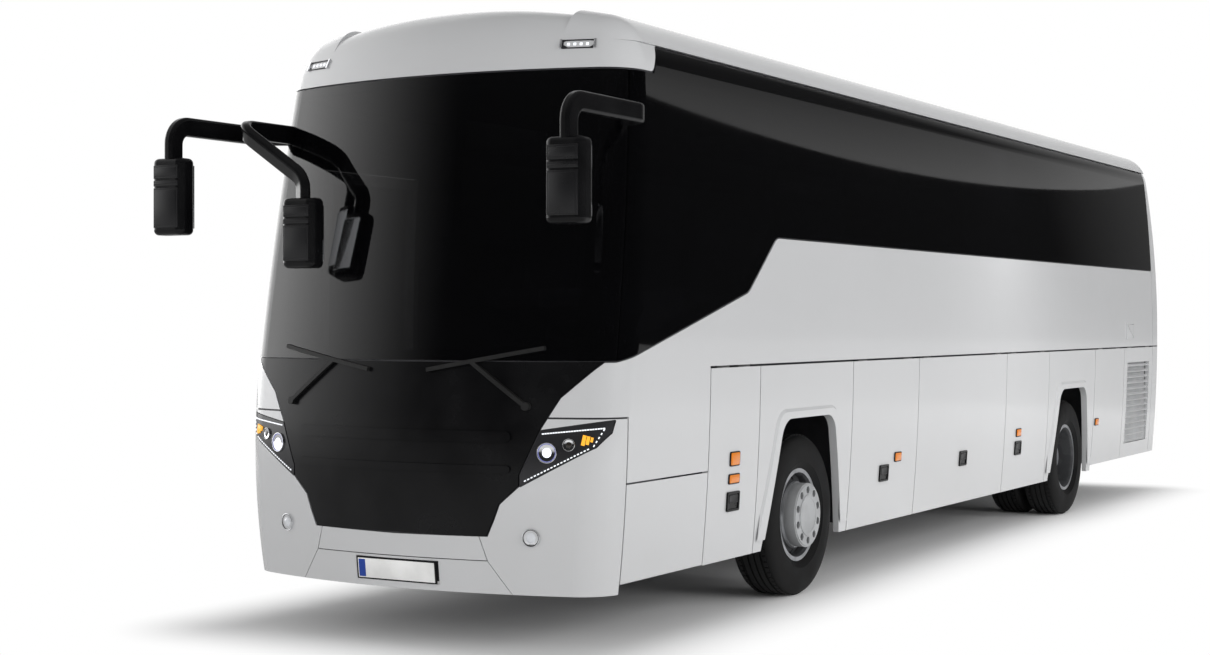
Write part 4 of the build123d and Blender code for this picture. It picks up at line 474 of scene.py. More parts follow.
def seen_at(pixel, node):
    """The point and normal on a node that show at a pixel of the photograph."""
    right = Vector((CAMERA_AIM[1], -CAMERA_AIM[0], 0.0))
    across = (pixel[0] - PHOTO_MIDDLE[0]) / FOCAL_PIXELS
    rise = (PHOTO_MIDDLE[1] - HORIZON_RISE_PIXELS - pixel[1]) / FOCAL_PIXELS
    aim = Vector(CAMERA_AIM) + right * across + Vector((0, 0, rise))
    return skin_at(node, CAMERA_PLACE, aim)


def mirrored(spot):
    """The same point and normal on the other side of the vehicle."""
    point, normal = spot
    return Vector((point.x, -point.y, point.z)), Vector((normal.x, -normal.y, normal.z))


def both_sides(spot):
    """A left-hand spot and its right-hand twin, each with its side's name."""
    return (("left", spot), ("right", mirrored(spot)))


def shape(piece, finish, corner=0.0, steps=(), edge=0.0, segments=3):
    """Round a new block's upright edges, step its top face, soften its edges and give it a finish."""
    if corner:
        round_corners(piece, corner)
    if steps:
        dish(piece, steps)
    if edge:
        soften(piece, edge, segments)
    return coat(piece, finish)


def copies_of(piece, count):
    """A piece and the copies that bring it to a number, each with its own mesh."""
    return [piece] + [copy_of(piece) for _ in range(count - 1)]


def stand_pair(model, spot, label, rise=0.0, turn=0.0):
    """Stand a piece on a left-hand spot and a copy of it on the right-hand twin."""
    for piece, (side_name, place) in zip(copies_of(model, 2), both_sides(spot)):
        settle(stand(piece, *place, rise, turn), f"{side_name}_{label}", "coach")


# Fittings along the sides

# Flap latches: flap, place along the vehicle, height, how many sides have the flap, length and height
LATCH_Z = 0.70
LATCH_SIZE = (0.165, 0.118)
LATCHES = tuple(
    (flap, x, LATCH_Z, side_count, LATCH_SIZE)
    for flap, x, side_count in ((1, 4.14, 1), (2, 1.70, 2), (3, 0.02, 2), (4, -1.37, 2))
)
LATCH_DEPTH = 0.016
PADDLE_DEPTH = 0.010
PADDLE_MARGIN = 0.05
PADDLE_SHARE = 0.42
PADDLE_UP = 0.12
PADDLE_Z = 0.002
# Amber side lamps, in the same columns
SIDE_LAMPS = (
    (1, 4.14, 0.955, 1, (0.130, 0.088)),
    (1, 4.14, 0.835, 1, (0.145, 0.062)),
    (2, 1.44, 0.80, 2, (0.13, 0.07)),
    (4, -1.37, 0.83, 2, (0.13, 0.07)),
    (5, -3.79, 0.81, 2, (0.12, 0.07)),
)
LAMP_EDGE_DEPTH = 0.012
LAMP_LENS_DEPTH = 0.014
LAMP_LENS_MARGIN = 0.014
LAMP_LENS_Z = 0.001
# A distance sideways that is outside the vehicle, and how far a fitting stands off its flap
OUTSIDE_Y = 3.0
FITTING_RISE = 0.003


def flap_latch(length, height):
    """A black latch: a rounded plate with a sunk dish, and a paddle towards its top."""
    plate = slab((length, height, LATCH_DEPTH))
    paddle_size = (length - PADDLE_MARGIN, height * PADDLE_SHARE, PADDLE_DEPTH)
    paddle = slab(paddle_size, (0, height * PADDLE_UP, PADDLE_Z))
    return join([
        shape(plate, finishes["black_trim"], corner=0.012, steps=((0.014, -0.006),), edge=0.0025),
        shape(paddle, mirror_shell, corner=0.008, steps=((0.006, -0.002),), edge=0.002),
    ])


def side_lamp(length, height):
    """A rounded amber lens in a dark edge."""
    edge = slab((length, height, LAMP_EDGE_DEPTH))
    lens_size = (length - LAMP_LENS_MARGIN, height - LAMP_LENS_MARGIN, LAMP_LENS_DEPTH)
    lens = slab(lens_size, (0, 0, LAMP_LENS_Z))
    return join([
        shape(edge, finishes["black_trim"], corner=0.014, steps=((0.006, -0.003),), edge=0.0025),
        shape(lens, amber_lens, corner=0.010, steps=((0.008, 0.003),), edge=0.003),
    ])


def fit_to_flaps(model, table, label):
    """Model a fitting once for each size in a table and stand copies of it on the flaps."""
    fittings = {}
    for index, (number, x, z, side_count, size) in enumerate(table, 1):
        if size not in fittings:
            fittings[size] = model(*size)
        for side_name, side in SIDES[:side_count]:
            flap = f"{side_name}_flap_{number}"
            spot = skin_at(flap, (x, side * OUTSIDE_Y, z), (0, -side, 0))
            fitting = stand(copy_of(fittings[size]), *spot, rise=FITTING_RISE)
            settle(fitting, f"{side_name}_{label}_{index}", flap)
    for model_piece in fittings.values():
        bpy.data.objects.remove(model_piece)


# Lamps

# Where the left-hand lamps' parts show in the photograph, in its pixels
PROJECTOR_PIXEL = (547, 453)
SECOND_LENS_PIXEL = (569, 445)
INDICATOR_PIXEL = (586, 441)
MARKER_PIXEL = (578, 44)
# Light strips, in the same pixels: start, end, spacing
LIGHT_LINES_PIXELS = (
    ((543, 434), (604, 428.5), 2.6),
    ((604, 430), (594, 446), 4.4),
    ((588, 449.5), (525, 481), 3.6),
)
BEAD_SIZE = (0.012, 0.007, 0.007)
# Indicator cells: sideways, up, width, height
INDICATOR_CELLS = (
    (-0.012, 0, 0.020, 0.056),
    (0.010, 0.004, 0.018, 0.046),
    (0.030, 0.012, 0.014, 0.026),
)
CELL_DEPTH = 0.012
INDICATOR_TURN = radians(-12)
# Round lenses: depths of ring and bowl, their shares of the radius, the core's flatness and lower end
RING_DEPTH = 0.020
RING_SHARE = 0.10
BOWL_DEPTH = 0.016
BOWL_SHARE = 0.90
CORE_FLATNESS = 0.45
CORE_LOW_Z = -0.002
# Lens sets: radius, finish of the bowl, finish of the core, the core's share of the radius
LENS_SPECS = (
    (PROJECTOR_PIXEL, "projector", (0.056, projector_halo, projector_glow, 0.52)),
    (SECOND_LENS_PIXEL, "second_lens", (0.034, dark_lens, dark_lens, 0.62)),
)
FOG_LENS = (0.05, dark_lens, white_lens, 0.62)
# Fog lamp, left: sideways and height
FOG_SPOT = (0.83, 0.615)
FOG_RISE = 0.002


def round_lens(radius, bowl_finish, core_finish, core_share):
    """A chrome ring round a sunk bowl with a domed core, its radius a share of the ring's."""
    ring = drum(radius, RING_DEPTH)
    bowl = drum(radius * BOWL_SHARE, BOWL_DEPTH)
    bowl_steps = ((radius * 0.08, -0.004), (radius * 0.15, -0.003))
    fresh()
    bpy.ops.mesh.primitive_uv_sphere_add(segments=32, ring_count=16, radius=radius * core_share)
    dome = bpy.context.object
    dome.scale = (1.0, 1.0, CORE_FLATNESS)
    bpy.ops.object.transform_apply(location=True, rotation=True, scale=True)
    edit(dome, lambda centre, normal: centre.z < CORE_LOW_Z)
    bpy.ops.mesh.delete(type="FACE")
    close()
    return join([
        shape(ring, chrome, steps=((radius * RING_SHARE, -0.004),), edge=0.0025),
        shape(bowl, bowl_finish, steps=bowl_steps, edge=0.0015),
        coat(dome, core_finish),
    ])


def indicator_lens():
    """A cluster of amber reflector cells."""
    cells = []
    for x, y, width, height in INDICATOR_CELLS:
        cell = slab((width, height, CELL_DEPTH), (x, y, 0))
        cells.append(shape(cell, amber_glow, steps=((0.003, -0.003), (0.002, 0.002)), edge=0.002))
    return join(cells)


def fit_light_strips():
    """Rows of bright blocks along the edges of both headlamps."""
    bead = shape(slab(BEAD_SIZE), led_glow, steps=((0.0012, 0.0012),), edge=0.001, segments=2)
    strips = {"left": [], "right": []}
    for start, end, spacing in LIGHT_LINES_PIXELS:
        span = Vector(end) - Vector(start)
        count = int(span.length / spacing)
        lean = -atan2(span.y, abs(span.x))
        turn = lean if span.x > 0 else -lean
        turns = {"left": turn, "right": -turn}
        for index in range(count + 1):
            pixel = Vector(start) + span * (index / count)
            for side_name, spot in both_sides(seen_at(pixel, "front_lamps")):
                strips[side_name].append(stand(copy_of(bead), *spot, turn=turns[side_name]))
    bpy.data.objects.remove(bead)
    for side_name, beads in strips.items():
        settle(join(beads), f"{side_name}_light_strip", "coach")


def fit_headlamps():
    """Projectors, indicators and light strips in both headlamps, and the fog lamps below."""
    for pixel, label, spec in LENS_SPECS:
        stand_pair(round_lens(*spec), seen_at(pixel, "front_lamps"), label)
    stand_pair(indicator_lens(), seen_at(INDICATOR_PIXEL, "front_lamps"), "indicator", turn=INDICATOR_TURN)
    fit_light_strips()
    fog_spot = skin_at("front_lamps", (NOSE_X + 1, *FOG_SPOT), (-1, 0, 0))
    stand_pair(round_lens(*FOG_LENS), fog_spot, "fog_lamp", rise=FOG_RISE)


MARKER_CASE = (0.20, 0.056, 0.018)
MARKER_LIGHT = (0.016, 0.016, 0.008)
MARKER_LIGHTS = 4
MARKER_PITCH = 0.036
MARKER_LIGHT_Z = 0.003
MARKER_CAP = (0.014, 0.060, 0.022)
MARKER_CAP_X = 0.097
MARKER_RISE = -0.002


def marker_lamp():
    """A long dome lamp: a sunk case with chrome ends and four lights."""
    case = shape(slab(MARKER_CASE), finishes["clear_lamp"], steps=((0.005, -0.008),), edge=0.002)
    light = shape(slab(MARKER_LIGHT), led_glow, steps=((0.004, 0.003),), edge=0.003)
    lights = copies_of(light, MARKER_LIGHTS)
    for index, piece in enumerate(lights):
        piece.location = ((index - (MARKER_LIGHTS - 1) / 2) * MARKER_PITCH, 0, MARKER_LIGHT_Z)
    cap = shape(slab(MARKER_CAP), chrome, steps=((0.004, 0.001),), edge=0.003)
    caps = copies_of(cap, 2)
    for piece, end in zip(caps, (1, -1)):
        piece.location = (end * MARKER_CAP_X, 0, 0)
    return join([case, *lights, *caps])


def fit_marker_lamps():
    """Marker lamps on the dome's two corners."""
    stand_pair(marker_lamp(), seen_at(MARKER_PIXEL, "roof"), "marker_lamp", rise=MARKER_RISE)


# Tail lamp lenses: finish, heights
TAIL_LENSES = (
    (amber_lens, (1.48,)),
    (finishes["red_lamp"], (1.32, 1.16)),
    (white_lens, (1.0,)),
)
TAIL_LAMP_Y = 1.06
TAIL_LENS_RADIUS = 0.045
TAIL_CORE_SHARE = 0.6
TAIL_LENS_RISE = 0.001


def fit_tail_lamps():
    """Round lenses in the tail lamps."""
    lenses = {"left": [], "right": []}
    for glass, heights in TAIL_LENSES:
        model = round_lens(TAIL_LENS_RADIUS, glass, glass, TAIL_CORE_SHARE)
        for height in heights:
            for side_name, side in SIDES:
                spot = skin_at("tail_lamps", (TAIL_X - 1, side * TAIL_LAMP_Y, height), (1, 0, 0))
                lenses[side_name].append(stand(copy_of(model), *spot, rise=TAIL_LENS_RISE))
        bpy.data.objects.remove(model)
    for side_name, group in lenses.items():
        settle(join(group), f"{side_name}_tail_lenses", "coach")


# Number plate, blank, in its recess below the bumper bar
PLATE_Z = 0.40
PLATE_SIZE = (0.52, 0.11, 0.006)
PLATE_RISE = 0.006
SHEET_Z = 0.004
HOLDER_BORDER = (0.02, 0.016)
HOLDER_DEPTH = 0.010
BAND_WIDTH = 0.045
BAND_DEPTH = 0.002
BAND_MARGIN = 0.006
BAND_Z = 0.0078


def fit_plate():
    """A blank white plate in a black holder, with a plain band at one end."""
    length, height, _ = PLATE_SIZE
    holder = slab((length + HOLDER_BORDER[0], height + HOLDER_BORDER[1], HOLDER_DEPTH))
    sheet = slab(PLATE_SIZE, (0, 0, SHEET_Z))
    band_x = (BAND_WIDTH - length) / 2 + BAND_MARGIN
    band = slab((BAND_WIDTH, height - 2 * BAND_MARGIN, BAND_DEPTH), (band_x, 0, BAND_Z))
    plate = join([
        shape(holder, finishes["black_trim"], steps=((0.006, -0.002),), edge=0.002),
        shape(sheet, plate_white, steps=((0.004, 0.0008),), edge=0.001, segments=2),
        shape(band, plate_blue, steps=((0.002, 0.0003),)),
    ])
    spot = skin_at("front_frame", (NOSE_X + 1, 0, PLATE_Z), (-1, 0, 0))
    settle(stand(plate, *spot, rise=PLATE_RISE), "blank_plate", "coach")


# Mirror heads: width and height of the glass, then the name and place of each head of that size
MIRROR_HEADS = (
    ((0.19, 0.36), (("left_outer", (6.175, 1.32, 2.49)), ("right_outer", (6.175, -1.32, 2.49)))),
    ((0.19, 0.32), (("right_inner", (5.85, -0.64, 2.28)),)),
)
PANE_DEPTH = 0.008
PANE_RISE = 0.001
# The shell's parts, lower and upper end of each as shares of the height from its middle
SHELL_PARTS = ((-0.5, 0.14), (0.16, 0.26), (0.28, 0.5))
SHELL_DEPTH = 0.016
SHELL_MARGIN = 0.01
SHELL_GAP = 0.004
SHELL_RISE = -0.004
# How far behind and ahead of a head its skin is looked for
HEAD_BEHIND = 0.25
HEAD_AHEAD = 0.5


def mirror_pane(width, height):
    """The sunk glass of a mirror."""
    return shape(slab((width, height, PANE_DEPTH)), mirror_glass, steps=((0.006, -0.003),), edge=0.003)


def mirror_cover(width, height):
    """The three-part shell of a mirror."""
    parts = []
    for low, high in SHELL_PARTS:
        size = (width - SHELL_MARGIN, (high - low) * height - SHELL_GAP, SHELL_DEPTH)
        part = slab(size, (0, (low + high) / 2 * height, 0))
        parts.append(shape(part, mirror_shell, steps=((0.012, 0.004),), edge=0.004))
    return join(parts)


def fit_mirrors():
    """Mirror glass behind each head and a shell in front of it."""
    for size, heads in MIRROR_HEADS:
        pane = mirror_pane(*size)
        cover = mirror_cover(*size)
        for name, (x, y, z) in heads:
            back = skin_at("mirrors", (x - HEAD_BEHIND, y, z), (1, 0, 0))
            settle(stand(copy_of(pane), *back, rise=PANE_RISE), f"{name}_mirror_glass", "coach")
            front = skin_at("mirrors", (x + HEAD_AHEAD, y, z), (-1, 0, 0))
            settle(stand(copy_of(cover), *front, rise=SHELL_RISE), f"{name}_mirror_shell", "coach")
        bpy.data.objects.remove(pane)
        bpy.data.objects.remove(cover)


# Tyres

TREAD_STEPS = 72
TYRE_HALF = {"bead": 0.108, "wall": 0.1475, "shoulder": 0.120, "tread": 0.104}
TYRE_RADII = {"inner": 0.288, "bead": 0.3005, "shoulder": 0.506, "tread": 0.522}
WALL_STEPS = 8
WALL_TURN = 80
RIM_LINE = 0.006
SHOULDER_OUT = 0.008
SHOULDER_UP = 0.004
GROOVES = (-0.066, -0.022, 0.022, 0.066)
GROOVE_HALF = 0.006
GROOVE_FLOOR_SHARE = 0.7
GROOVE_DEPTH = 0.013
RIB_EDGE = 0.002
RIB_HALF = 0.006
RIB_SINK = 0.003
BLOCK_HEIGHT = 0.010
BLOCK_GAP = 0.004
WELD_DISTANCE = 0.0004


def tyre_outline():
    """Closed outline of the tyre's section, across and radius: wall, tread, other wall, inside."""
    low, high = TYRE_RADII["bead"], TYRE_RADII["shoulder"]
    wall = []
    for step in range(WALL_STEPS + 1):
        turn = radians(WALL_TURN * (2 * step / WALL_STEPS - 1))
        across = TYRE_HALF["bead"] + (TYRE_HALF["wall"] - TYRE_HALF["bead"]) * cos(turn)
        lean = (TYRE_HALF["shoulder"] - TYRE_HALF["bead"]) * step / WALL_STEPS * (1 - cos(turn))
        wall.append((across + lean, (low + high) / 2 + (high - low) / 2 * sin(turn)))
    wall.insert(3, (wall[2][0] + RIM_LINE, wall[2][1] + RIM_LINE))
    tread_top = TYRE_RADII["tread"]
    block_low = tread_top - BLOCK_HEIGHT
    shoulder = [(TYRE_HALF["tread"] + SHOULDER_OUT, high + SHOULDER_UP), (TYRE_HALF["tread"], block_low)]
    tread = [(GROOVES[3] + GROOVE_HALF + RIB_EDGE, block_low)]
    for middle in reversed(GROOVES):
        floor = tread_top - GROOVE_DEPTH
        tread += [
            (middle + GROOVE_HALF, tread_top if middle != GROOVES[3] else block_low),
            (middle + GROOVE_HALF * GROOVE_FLOOR_SHARE, floor),
            (middle - GROOVE_HALF * GROOVE_FLOOR_SHARE, floor),
            (middle - GROOVE_HALF, tread_top if middle != GROOVES[0] else block_low),
        ]
    tread.append((GROOVES[0] - GROOVE_HALF - RIB_EDGE, block_low))
    other = [(-across, radius) for across, radius in reversed(wall + shoulder)]
    inner = [(-TYRE_HALF["bead"], TYRE_RADII["inner"]), (TYRE_HALF["bead"], TYRE_RADII["inner"])]
    return wall + shoulder + tread + other + inner


def tyre():
    """A tyre spun from its section, with shoulder blocks raised between cross cuts."""
    outline = tyre_outline()
    fresh()
    bpy.ops.mesh.primitive_circle_add(vertices=len(outline))
    piece = bpy.context.object
    for corner, (across, radius) in zip(piece.data.vertices, outline):
        corner.co = (0.0, across, radius)
    bpy.ops.object.mode_set(mode="EDIT")
    bpy.ops.mesh.select_all(action="SELECT")
    bpy.ops.mesh.spin(steps=TREAD_STEPS, angle=2 * pi, center=(0, 0, 0), axis=(0, 1, 0))
    bpy.ops.mesh.select_all(action="SELECT")
    bpy.ops.mesh.remove_doubles(threshold=WELD_DISTANCE)
    bpy.ops.mesh.normals_make_consistent(inside=False)
    close()
    rib_middle = (TYRE_HALF["tread"] + GROOVES[3] + GROOVE_HALF) / 2
    rib_low = TYRE_RADII["tread"] - BLOCK_HEIGHT - RIB_SINK

    def on_rib(centre, normal):
        return abs(abs(centre.y) - rib_middle) < RIB_HALF and sqrt(centre.x**2 + centre.z**2) > rib_low

    edit(piece, on_rib)
    bpy.ops.mesh.inset(thickness=BLOCK_GAP, use_individual=True)
    bpy.ops.mesh.extrude_region_shrink_fatten(TRANSFORM_OT_shrink_fatten={"value": BLOCK_HEIGHT})
    close()
    return coat(piece, finishes["tyre_rubber"])


def fit_tyres():
    """Treaded tyres in the places of the plain ones."""
    model = tyre()

    def tyre_at(axle_x, middle_y):
        twin = copy_of(model)
        twin.location = (axle_x, middle_y, AXLE_Z)
        return twin

    for side_name, _ in SIDES:
        low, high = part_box(f"front_{side_name}_tyre")
        front = tyre_at(FRONT_AXLE_X, (low.y + high.y) / 2)
        settle(front, f"front_{side_name}_treaded_tyre", f"front_{side_name}_wheel")
        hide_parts(f"front_{side_name}_tyre")
        low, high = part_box(f"rear_{side_name}_tyres")
        half = TYRE_HALF["wall"]
        pair = join([tyre_at(REAR_AXLE_X, low.y + half), tyre_at(REAR_AXLE_X, high.y - half)])
        settle(pair, f"rear_{side_name}_treaded_tyres", f"rear_{side_name}_wheels")
        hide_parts(f"rear_{side_name}_tyres")
    bpy.data.objects.remove(model)


# Hub covers of the front wheels

HUB_RADIUS = 0.207
HUB_CORNERS = 80
HUB_INNER_Y = 1.176
HUB_OUTER_Y = 1.262
HUB_RAISED = 0.006
NUT_CIRCLE = 0.163
NUT_COUNT = 10
# Holes, black cups that are painted shade at the bottom of the holes, and nuts: radius, depth, corners
HOLE = (0.024, 0.07, 24)
SHADE_CUP = (0.026, 0.02, 24)
NUT = (0.016, 0.03, 6)
SHADE_CUP_SINK = 0.042
NUT_SINK = 0.034


def nut_ring(model, height):
    """Copies of a piece round the nut circle at a height, made one."""
    ring = copies_of(model, NUT_COUNT)
    for index, piece in enumerate(ring):
        turn = 2 * pi * (index + 0.5) / NUT_COUNT
        piece.location = (NUT_CIRCLE * cos(turn), NUT_CIRCLE * sin(turn), height)
    return join(ring)


def hub_cover():
    """A rounded hub cover with a raised middle and a ring of sunk wheel nuts on black cups, painted shade in
    the nut holes.
    """
    depth = HUB_OUTER_Y - HUB_INNER_Y
    face = depth / 2 + HUB_RAISED
    cover = drum(HUB_RADIUS, depth, HUB_CORNERS)
    cover_steps = ((0.008, HUB_RAISED), (0.066, 0.006), (0.022, -0.002))
    shape(cover, hub_metal, steps=cover_steps, edge=0.004)
    # Painted shade: black cups under the nuts stand in for the shade at the bottom of the nut holes.
    shade_cup = shape(drum(*SHADE_CUP), finishes["black_trim"], steps=((0.004, -0.006),))
    nut = shape(drum(*NUT), mirror_shell, steps=((0.004, 0.006), (0.002, -0.003)))
    cutter = nut_ring(drum(*HOLE), face)
    only(cover)
    bore = cover.modifiers.new("bore", "BOOLEAN")
    bore.operation = "DIFFERENCE"
    bore.object = cutter
    bpy.ops.object.modifier_apply(modifier=bore.name)
    bpy.data.objects.remove(cutter)
    coat(cover, hub_metal)
    return join([cover, nut_ring(shade_cup, face - SHADE_CUP_SINK), nut_ring(nut, face - NUT_SINK)])


def fit_hub_covers():
    """Hub covers on both front wheels."""
    middle_y = (HUB_INNER_Y + HUB_OUTER_Y - 2 * HUB_RAISED) / 2
    for cover, (side_name, side) in zip(copies_of(hub_cover(), 2), SIDES):
        stand(cover, Vector((FRONT_AXLE_X, side * middle_y, AXLE_Z)), Vector((0, side, 0)))
        settle(cover, f"front_{side_name}_hub_cover", f"front_{side_name}_wheel")


# Padded seats

SEAT_ROWS = 12
SEAT_PITCH = 0.79
SEAT_FIRST = 0.25
AISLE_HALF = 0.235
SEAT_SPACE = 0.445
# Middles of the two seats beside the aisle, in seat spaces
SEAT_PLACES = (0.5, 1.5)
SEAT_RISE = 0.31
CUSHION = (0.44, 0.41, 0.115)
CUSHION_DEPTH = 0.46
CUSHION_UP = 0.065
CUSHION_CHANNELS = (-0.13, 0.13)
BACK = (0.085, 0.40, 0.69)
BACK_MIDDLE = 0.055
BACK_UP = 0.36
BACK_LEAN = 14
BACK_CHANNELS = (-0.1, 0.15)
HEADREST_FROM = 0.25
HEADREST_SHARE = 0.78
CHANNEL_HALF = 0.014
DRIVER_SEAT = (1.40, 0.62)
PAD_VOXEL = 0.012
PAD_PRESSURE = 4.0
PAD_LIMIT = 0.012
PAD_FRAMES = 20
PAD_SHARE = 0.35
PAD_SMOOTH_ANGLE = 80


def swell(piece):
    """Remesh a block and blow it up as a stuffed cloth cover, within a limit, then thin its mesh."""
    only(piece)
    piece.data.remesh_voxel_size = PAD_VOXEL
    bpy.ops.object.voxel_remesh()
    start = [corner.co.copy() for corner in piece.data.vertices]
    cover = piece.modifiers.new("cover", "CLOTH")
    cover.settings.use_pressure = True
    cover.settings.uniform_pressure_force = PAD_PRESSURE
    cover.settings.effector_weights.gravity = 0.0
    for step in range(1, PAD_FRAMES + 1):
        bpy.context.scene.frame_set(step)
    bpy.ops.object.modifier_apply(modifier=cover.name)
    for corner, before in zip(piece.data.vertices, start):
        move = corner.co - before
        if move.length > PAD_LIMIT:
            corner.co = before + move * (PAD_LIMIT / move.length)
    bpy.context.scene.frame_set(1)
    thin = piece.modifiers.new("thin", "DECIMATE")
    thin.ratio = PAD_SHARE
    bpy.ops.object.modifier_apply(modifier=thin.name)


def press_channels(piece, axis, places, depth):
    """Press sewn channels into a pad across one axis."""
    for corner in piece.data.vertices:
        for place in places:
            nearness = 1 - abs(corner.co[axis] - place) / CHANNEL_HALF
            if nearness > 0:
                corner.co -= corner.normal * depth * nearness


def seat_cushion():
    """A stuffed cushion with two sewn channels from front to back."""
    piece = slab(CUSHION)
    soften(piece, width=0.03, segments=4)
    swell(piece)
    press_channels(piece, axis=1, places=CUSHION_CHANNELS, depth=0.006)
    return coat(piece, finishes["seat_cloth"])


def seat_back():
    """A stuffed back that narrows to a headrest, with cross channels, leaning back."""
    piece = slab(BACK)
    only(piece)
    bpy.ops.object.mode_set(mode="EDIT")
    bpy.ops.mesh.select_all(action="SELECT")
    bpy.ops.mesh.subdivide(number_cuts=5)
    close()
    for corner in piece.data.vertices:
        if corner.co.z > BACK[2] * HEADREST_FROM:
            corner.co.y *= HEADREST_SHARE
    soften(piece, width=0.025, segments=3)
    swell(piece)
    press_channels(piece, axis=2, places=BACK_CHANNELS, depth=0.007)
    for corner in piece.data.vertices:
        corner.co.x -= (corner.co.z + BACK[2] / 2) * tan(radians(BACK_LEAN))
    return coat(piece, finishes["seat_cloth"])


def fit_seats():
    """Padded cushions and backs on every seat frame."""
    spots = [(FRONT_AXLE_X + DRIVER_SEAT[0], DRIVER_SEAT[1], PLATFORM_Z)]
    for row in range(SEAT_ROWS):
        for _, side in SIDES:
            for place in SEAT_PLACES:
                y = side * (AISLE_HALF + place * SEAT_SPACE)
                spots.append((FRONT_AXLE_X + SEAT_FIRST - row * SEAT_PITCH, y, FLOOR_Z))
    for model, label, offset_x, offset_z in (
        (seat_cushion(), "seat_cushions", -CUSHION_DEPTH / 2, SEAT_RISE + CUSHION_UP),
        (seat_back(), "seat_backs", -CUSHION_DEPTH - BACK_MIDDLE, SEAT_RISE + BACK_UP),
    ):
        copies = copies_of(model, len(spots))
        for piece, (x, y, floor) in zip(copies, spots):
            piece.location = (x + offset_x, y, floor + offset_z)
        pads = settle(join(copies), f"padded_{label}", "coach", PAD_SMOOTH_ANGLE)
        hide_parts(label)


# Louvred vent on the engine lid
VENT_SIZE = (1.30, 0.34, 0.016)
VENT_BORDER = 0.025
VENT_Z = 1.05
VENT_RISE = 0.002
VENT_SLATS = 9
SLAT_WIDTH = 0.026
SLAT_DEPTH = 0.006
SLAT_Z = 0.004
SLAT_TURN = radians(35)
SLAT_MARGIN = 0.06


def fit_lid_vent():
    """A black louvred vent on the engine lid."""
    black = finishes["black_trim"]
    border = shape(slab(VENT_SIZE), black, steps=((VENT_BORDER, -0.012),), edge=0.004)
    slat = slab((VENT_SIZE[0] - 2 * VENT_BORDER, SLAT_WIDTH, SLAT_DEPTH))
    slats = copies_of(shape(slat, black, edge=0.002, segments=2), VENT_SLATS)
    for index, piece in enumerate(slats):
        y = ((index + 0.5) / VENT_SLATS - 0.5) * (VENT_SIZE[1] - SLAT_MARGIN)
        piece.rotation_euler.x = SLAT_TURN
        piece.location = (0, y, SLAT_Z)
    spot = skin_at("engine_lid", (TAIL_X - 1, 0, VENT_Z), (1, 0, 0))
    settle(stand(join([border, *slats]), *spot, rise=VENT_RISE), "lid_vent", "engine_lid")


# Small blank hatch high on the left side, at a pixel a little ahead of where it shows in the photograph
HATCH_PIXEL = (1130, 331)
HATCH_SIZE = (0.28, 0.17, 0.008)
HATCH_RISE = 0.003


def fit_rear_hatch():
    """A small flush hatch in the side panel."""
    hatch_steps = ((0.014, -0.003), (0.006, 0.002))
    hatch = shape(slab(HATCH_SIZE), finishes["body_paint"], corner=0.015, steps=hatch_steps, edge=0.0015)
    spot = seen_at(HATCH_PIXEL, "left_side_panel")
    settle(stand(hatch, *spot, rise=HATCH_RISE), "rear_hatch", "coach")


# Meshed back of the side grilles: lower rear and upper front corner, along the vehicle and height
GRILLE_LOW = (-5.722, 0.545)
GRILLE_HIGH = (-4.870, 1.350)
GRILLE_BORDER = 0.015
GRILLE_DEPTH = 0.003
GRILLE_BACK_Y = 1.222


def fit_grille_backs():
    """A pale mesh sheet behind the louvres of each rear flap."""
    (low_x, low_z), (high_x, high_z) = GRILLE_LOW, GRILLE_HIGH
    sheet = slab((high_x - low_x, high_z - low_z, GRILLE_DEPTH))
    shape(sheet, vent_mesh, steps=((GRILLE_BORDER, -0.001),))
    for piece, (side_name, side) in zip(copies_of(sheet, 2), SIDES):
        middle = Vector(((low_x + high_x) / 2, side * GRILLE_BACK_Y, (low_z + high_z) / 2))
        settle(stand(piece, middle, Vector((0, side, 0))), f"{side_name}_grille_mesh", f"{side_name}_flap_6")


# Studio

FLOOR_SIZE = 260.0
FLOOR_COLOUR = (0.93, 0.93, 0.93, 1.0)
FOOTPRINT = (5.8, 1.05)
SHADOW_REACH = (0.0, 0.85)
# Light on surfaces: its level at the ground, the horizon and overhead, by how far a direction points up
GROUND_LEVEL = 0.15
HORIZON_LEVEL = 1.05
ZENITH_LEVEL = 0.15
HORIZON_UP = 0.3
ZENITH_UP = 0.9
# What gloss sees: dark walls, white behind the vehicle, a card on the right, one overhead, one at the corner
DARK_WALL = 0.02
BEHIND_AIM = (-0.80, -0.60)
BEHIND_SPAN = (0.60, 0.95)
RIGHT_WALL_SPAN = (0.40, 1.0)
RIGHT_WALL_LEVEL = 3.0
OVERHEAD_SPAN = (0.35, 0.9)
OVERHEAD_LEVEL = 0.2
CORNER_AIM = (0.483, 0.854)
CORNER_SPAN = (0.985, 0.997)
CORNER_LEVEL = 2.5
# The edge of the light card that shows in the left-hand glass, as a curve of height over sideways direction
CARD_RISE = 0.117
CARD_SIDEWAYS = 0.245
CARD_CURVE = 2.3
CARD_FADE = 0.09
CARD_LEVEL = 0.42
CARD_DARK = 0.03
CARD_FROM = 0.1
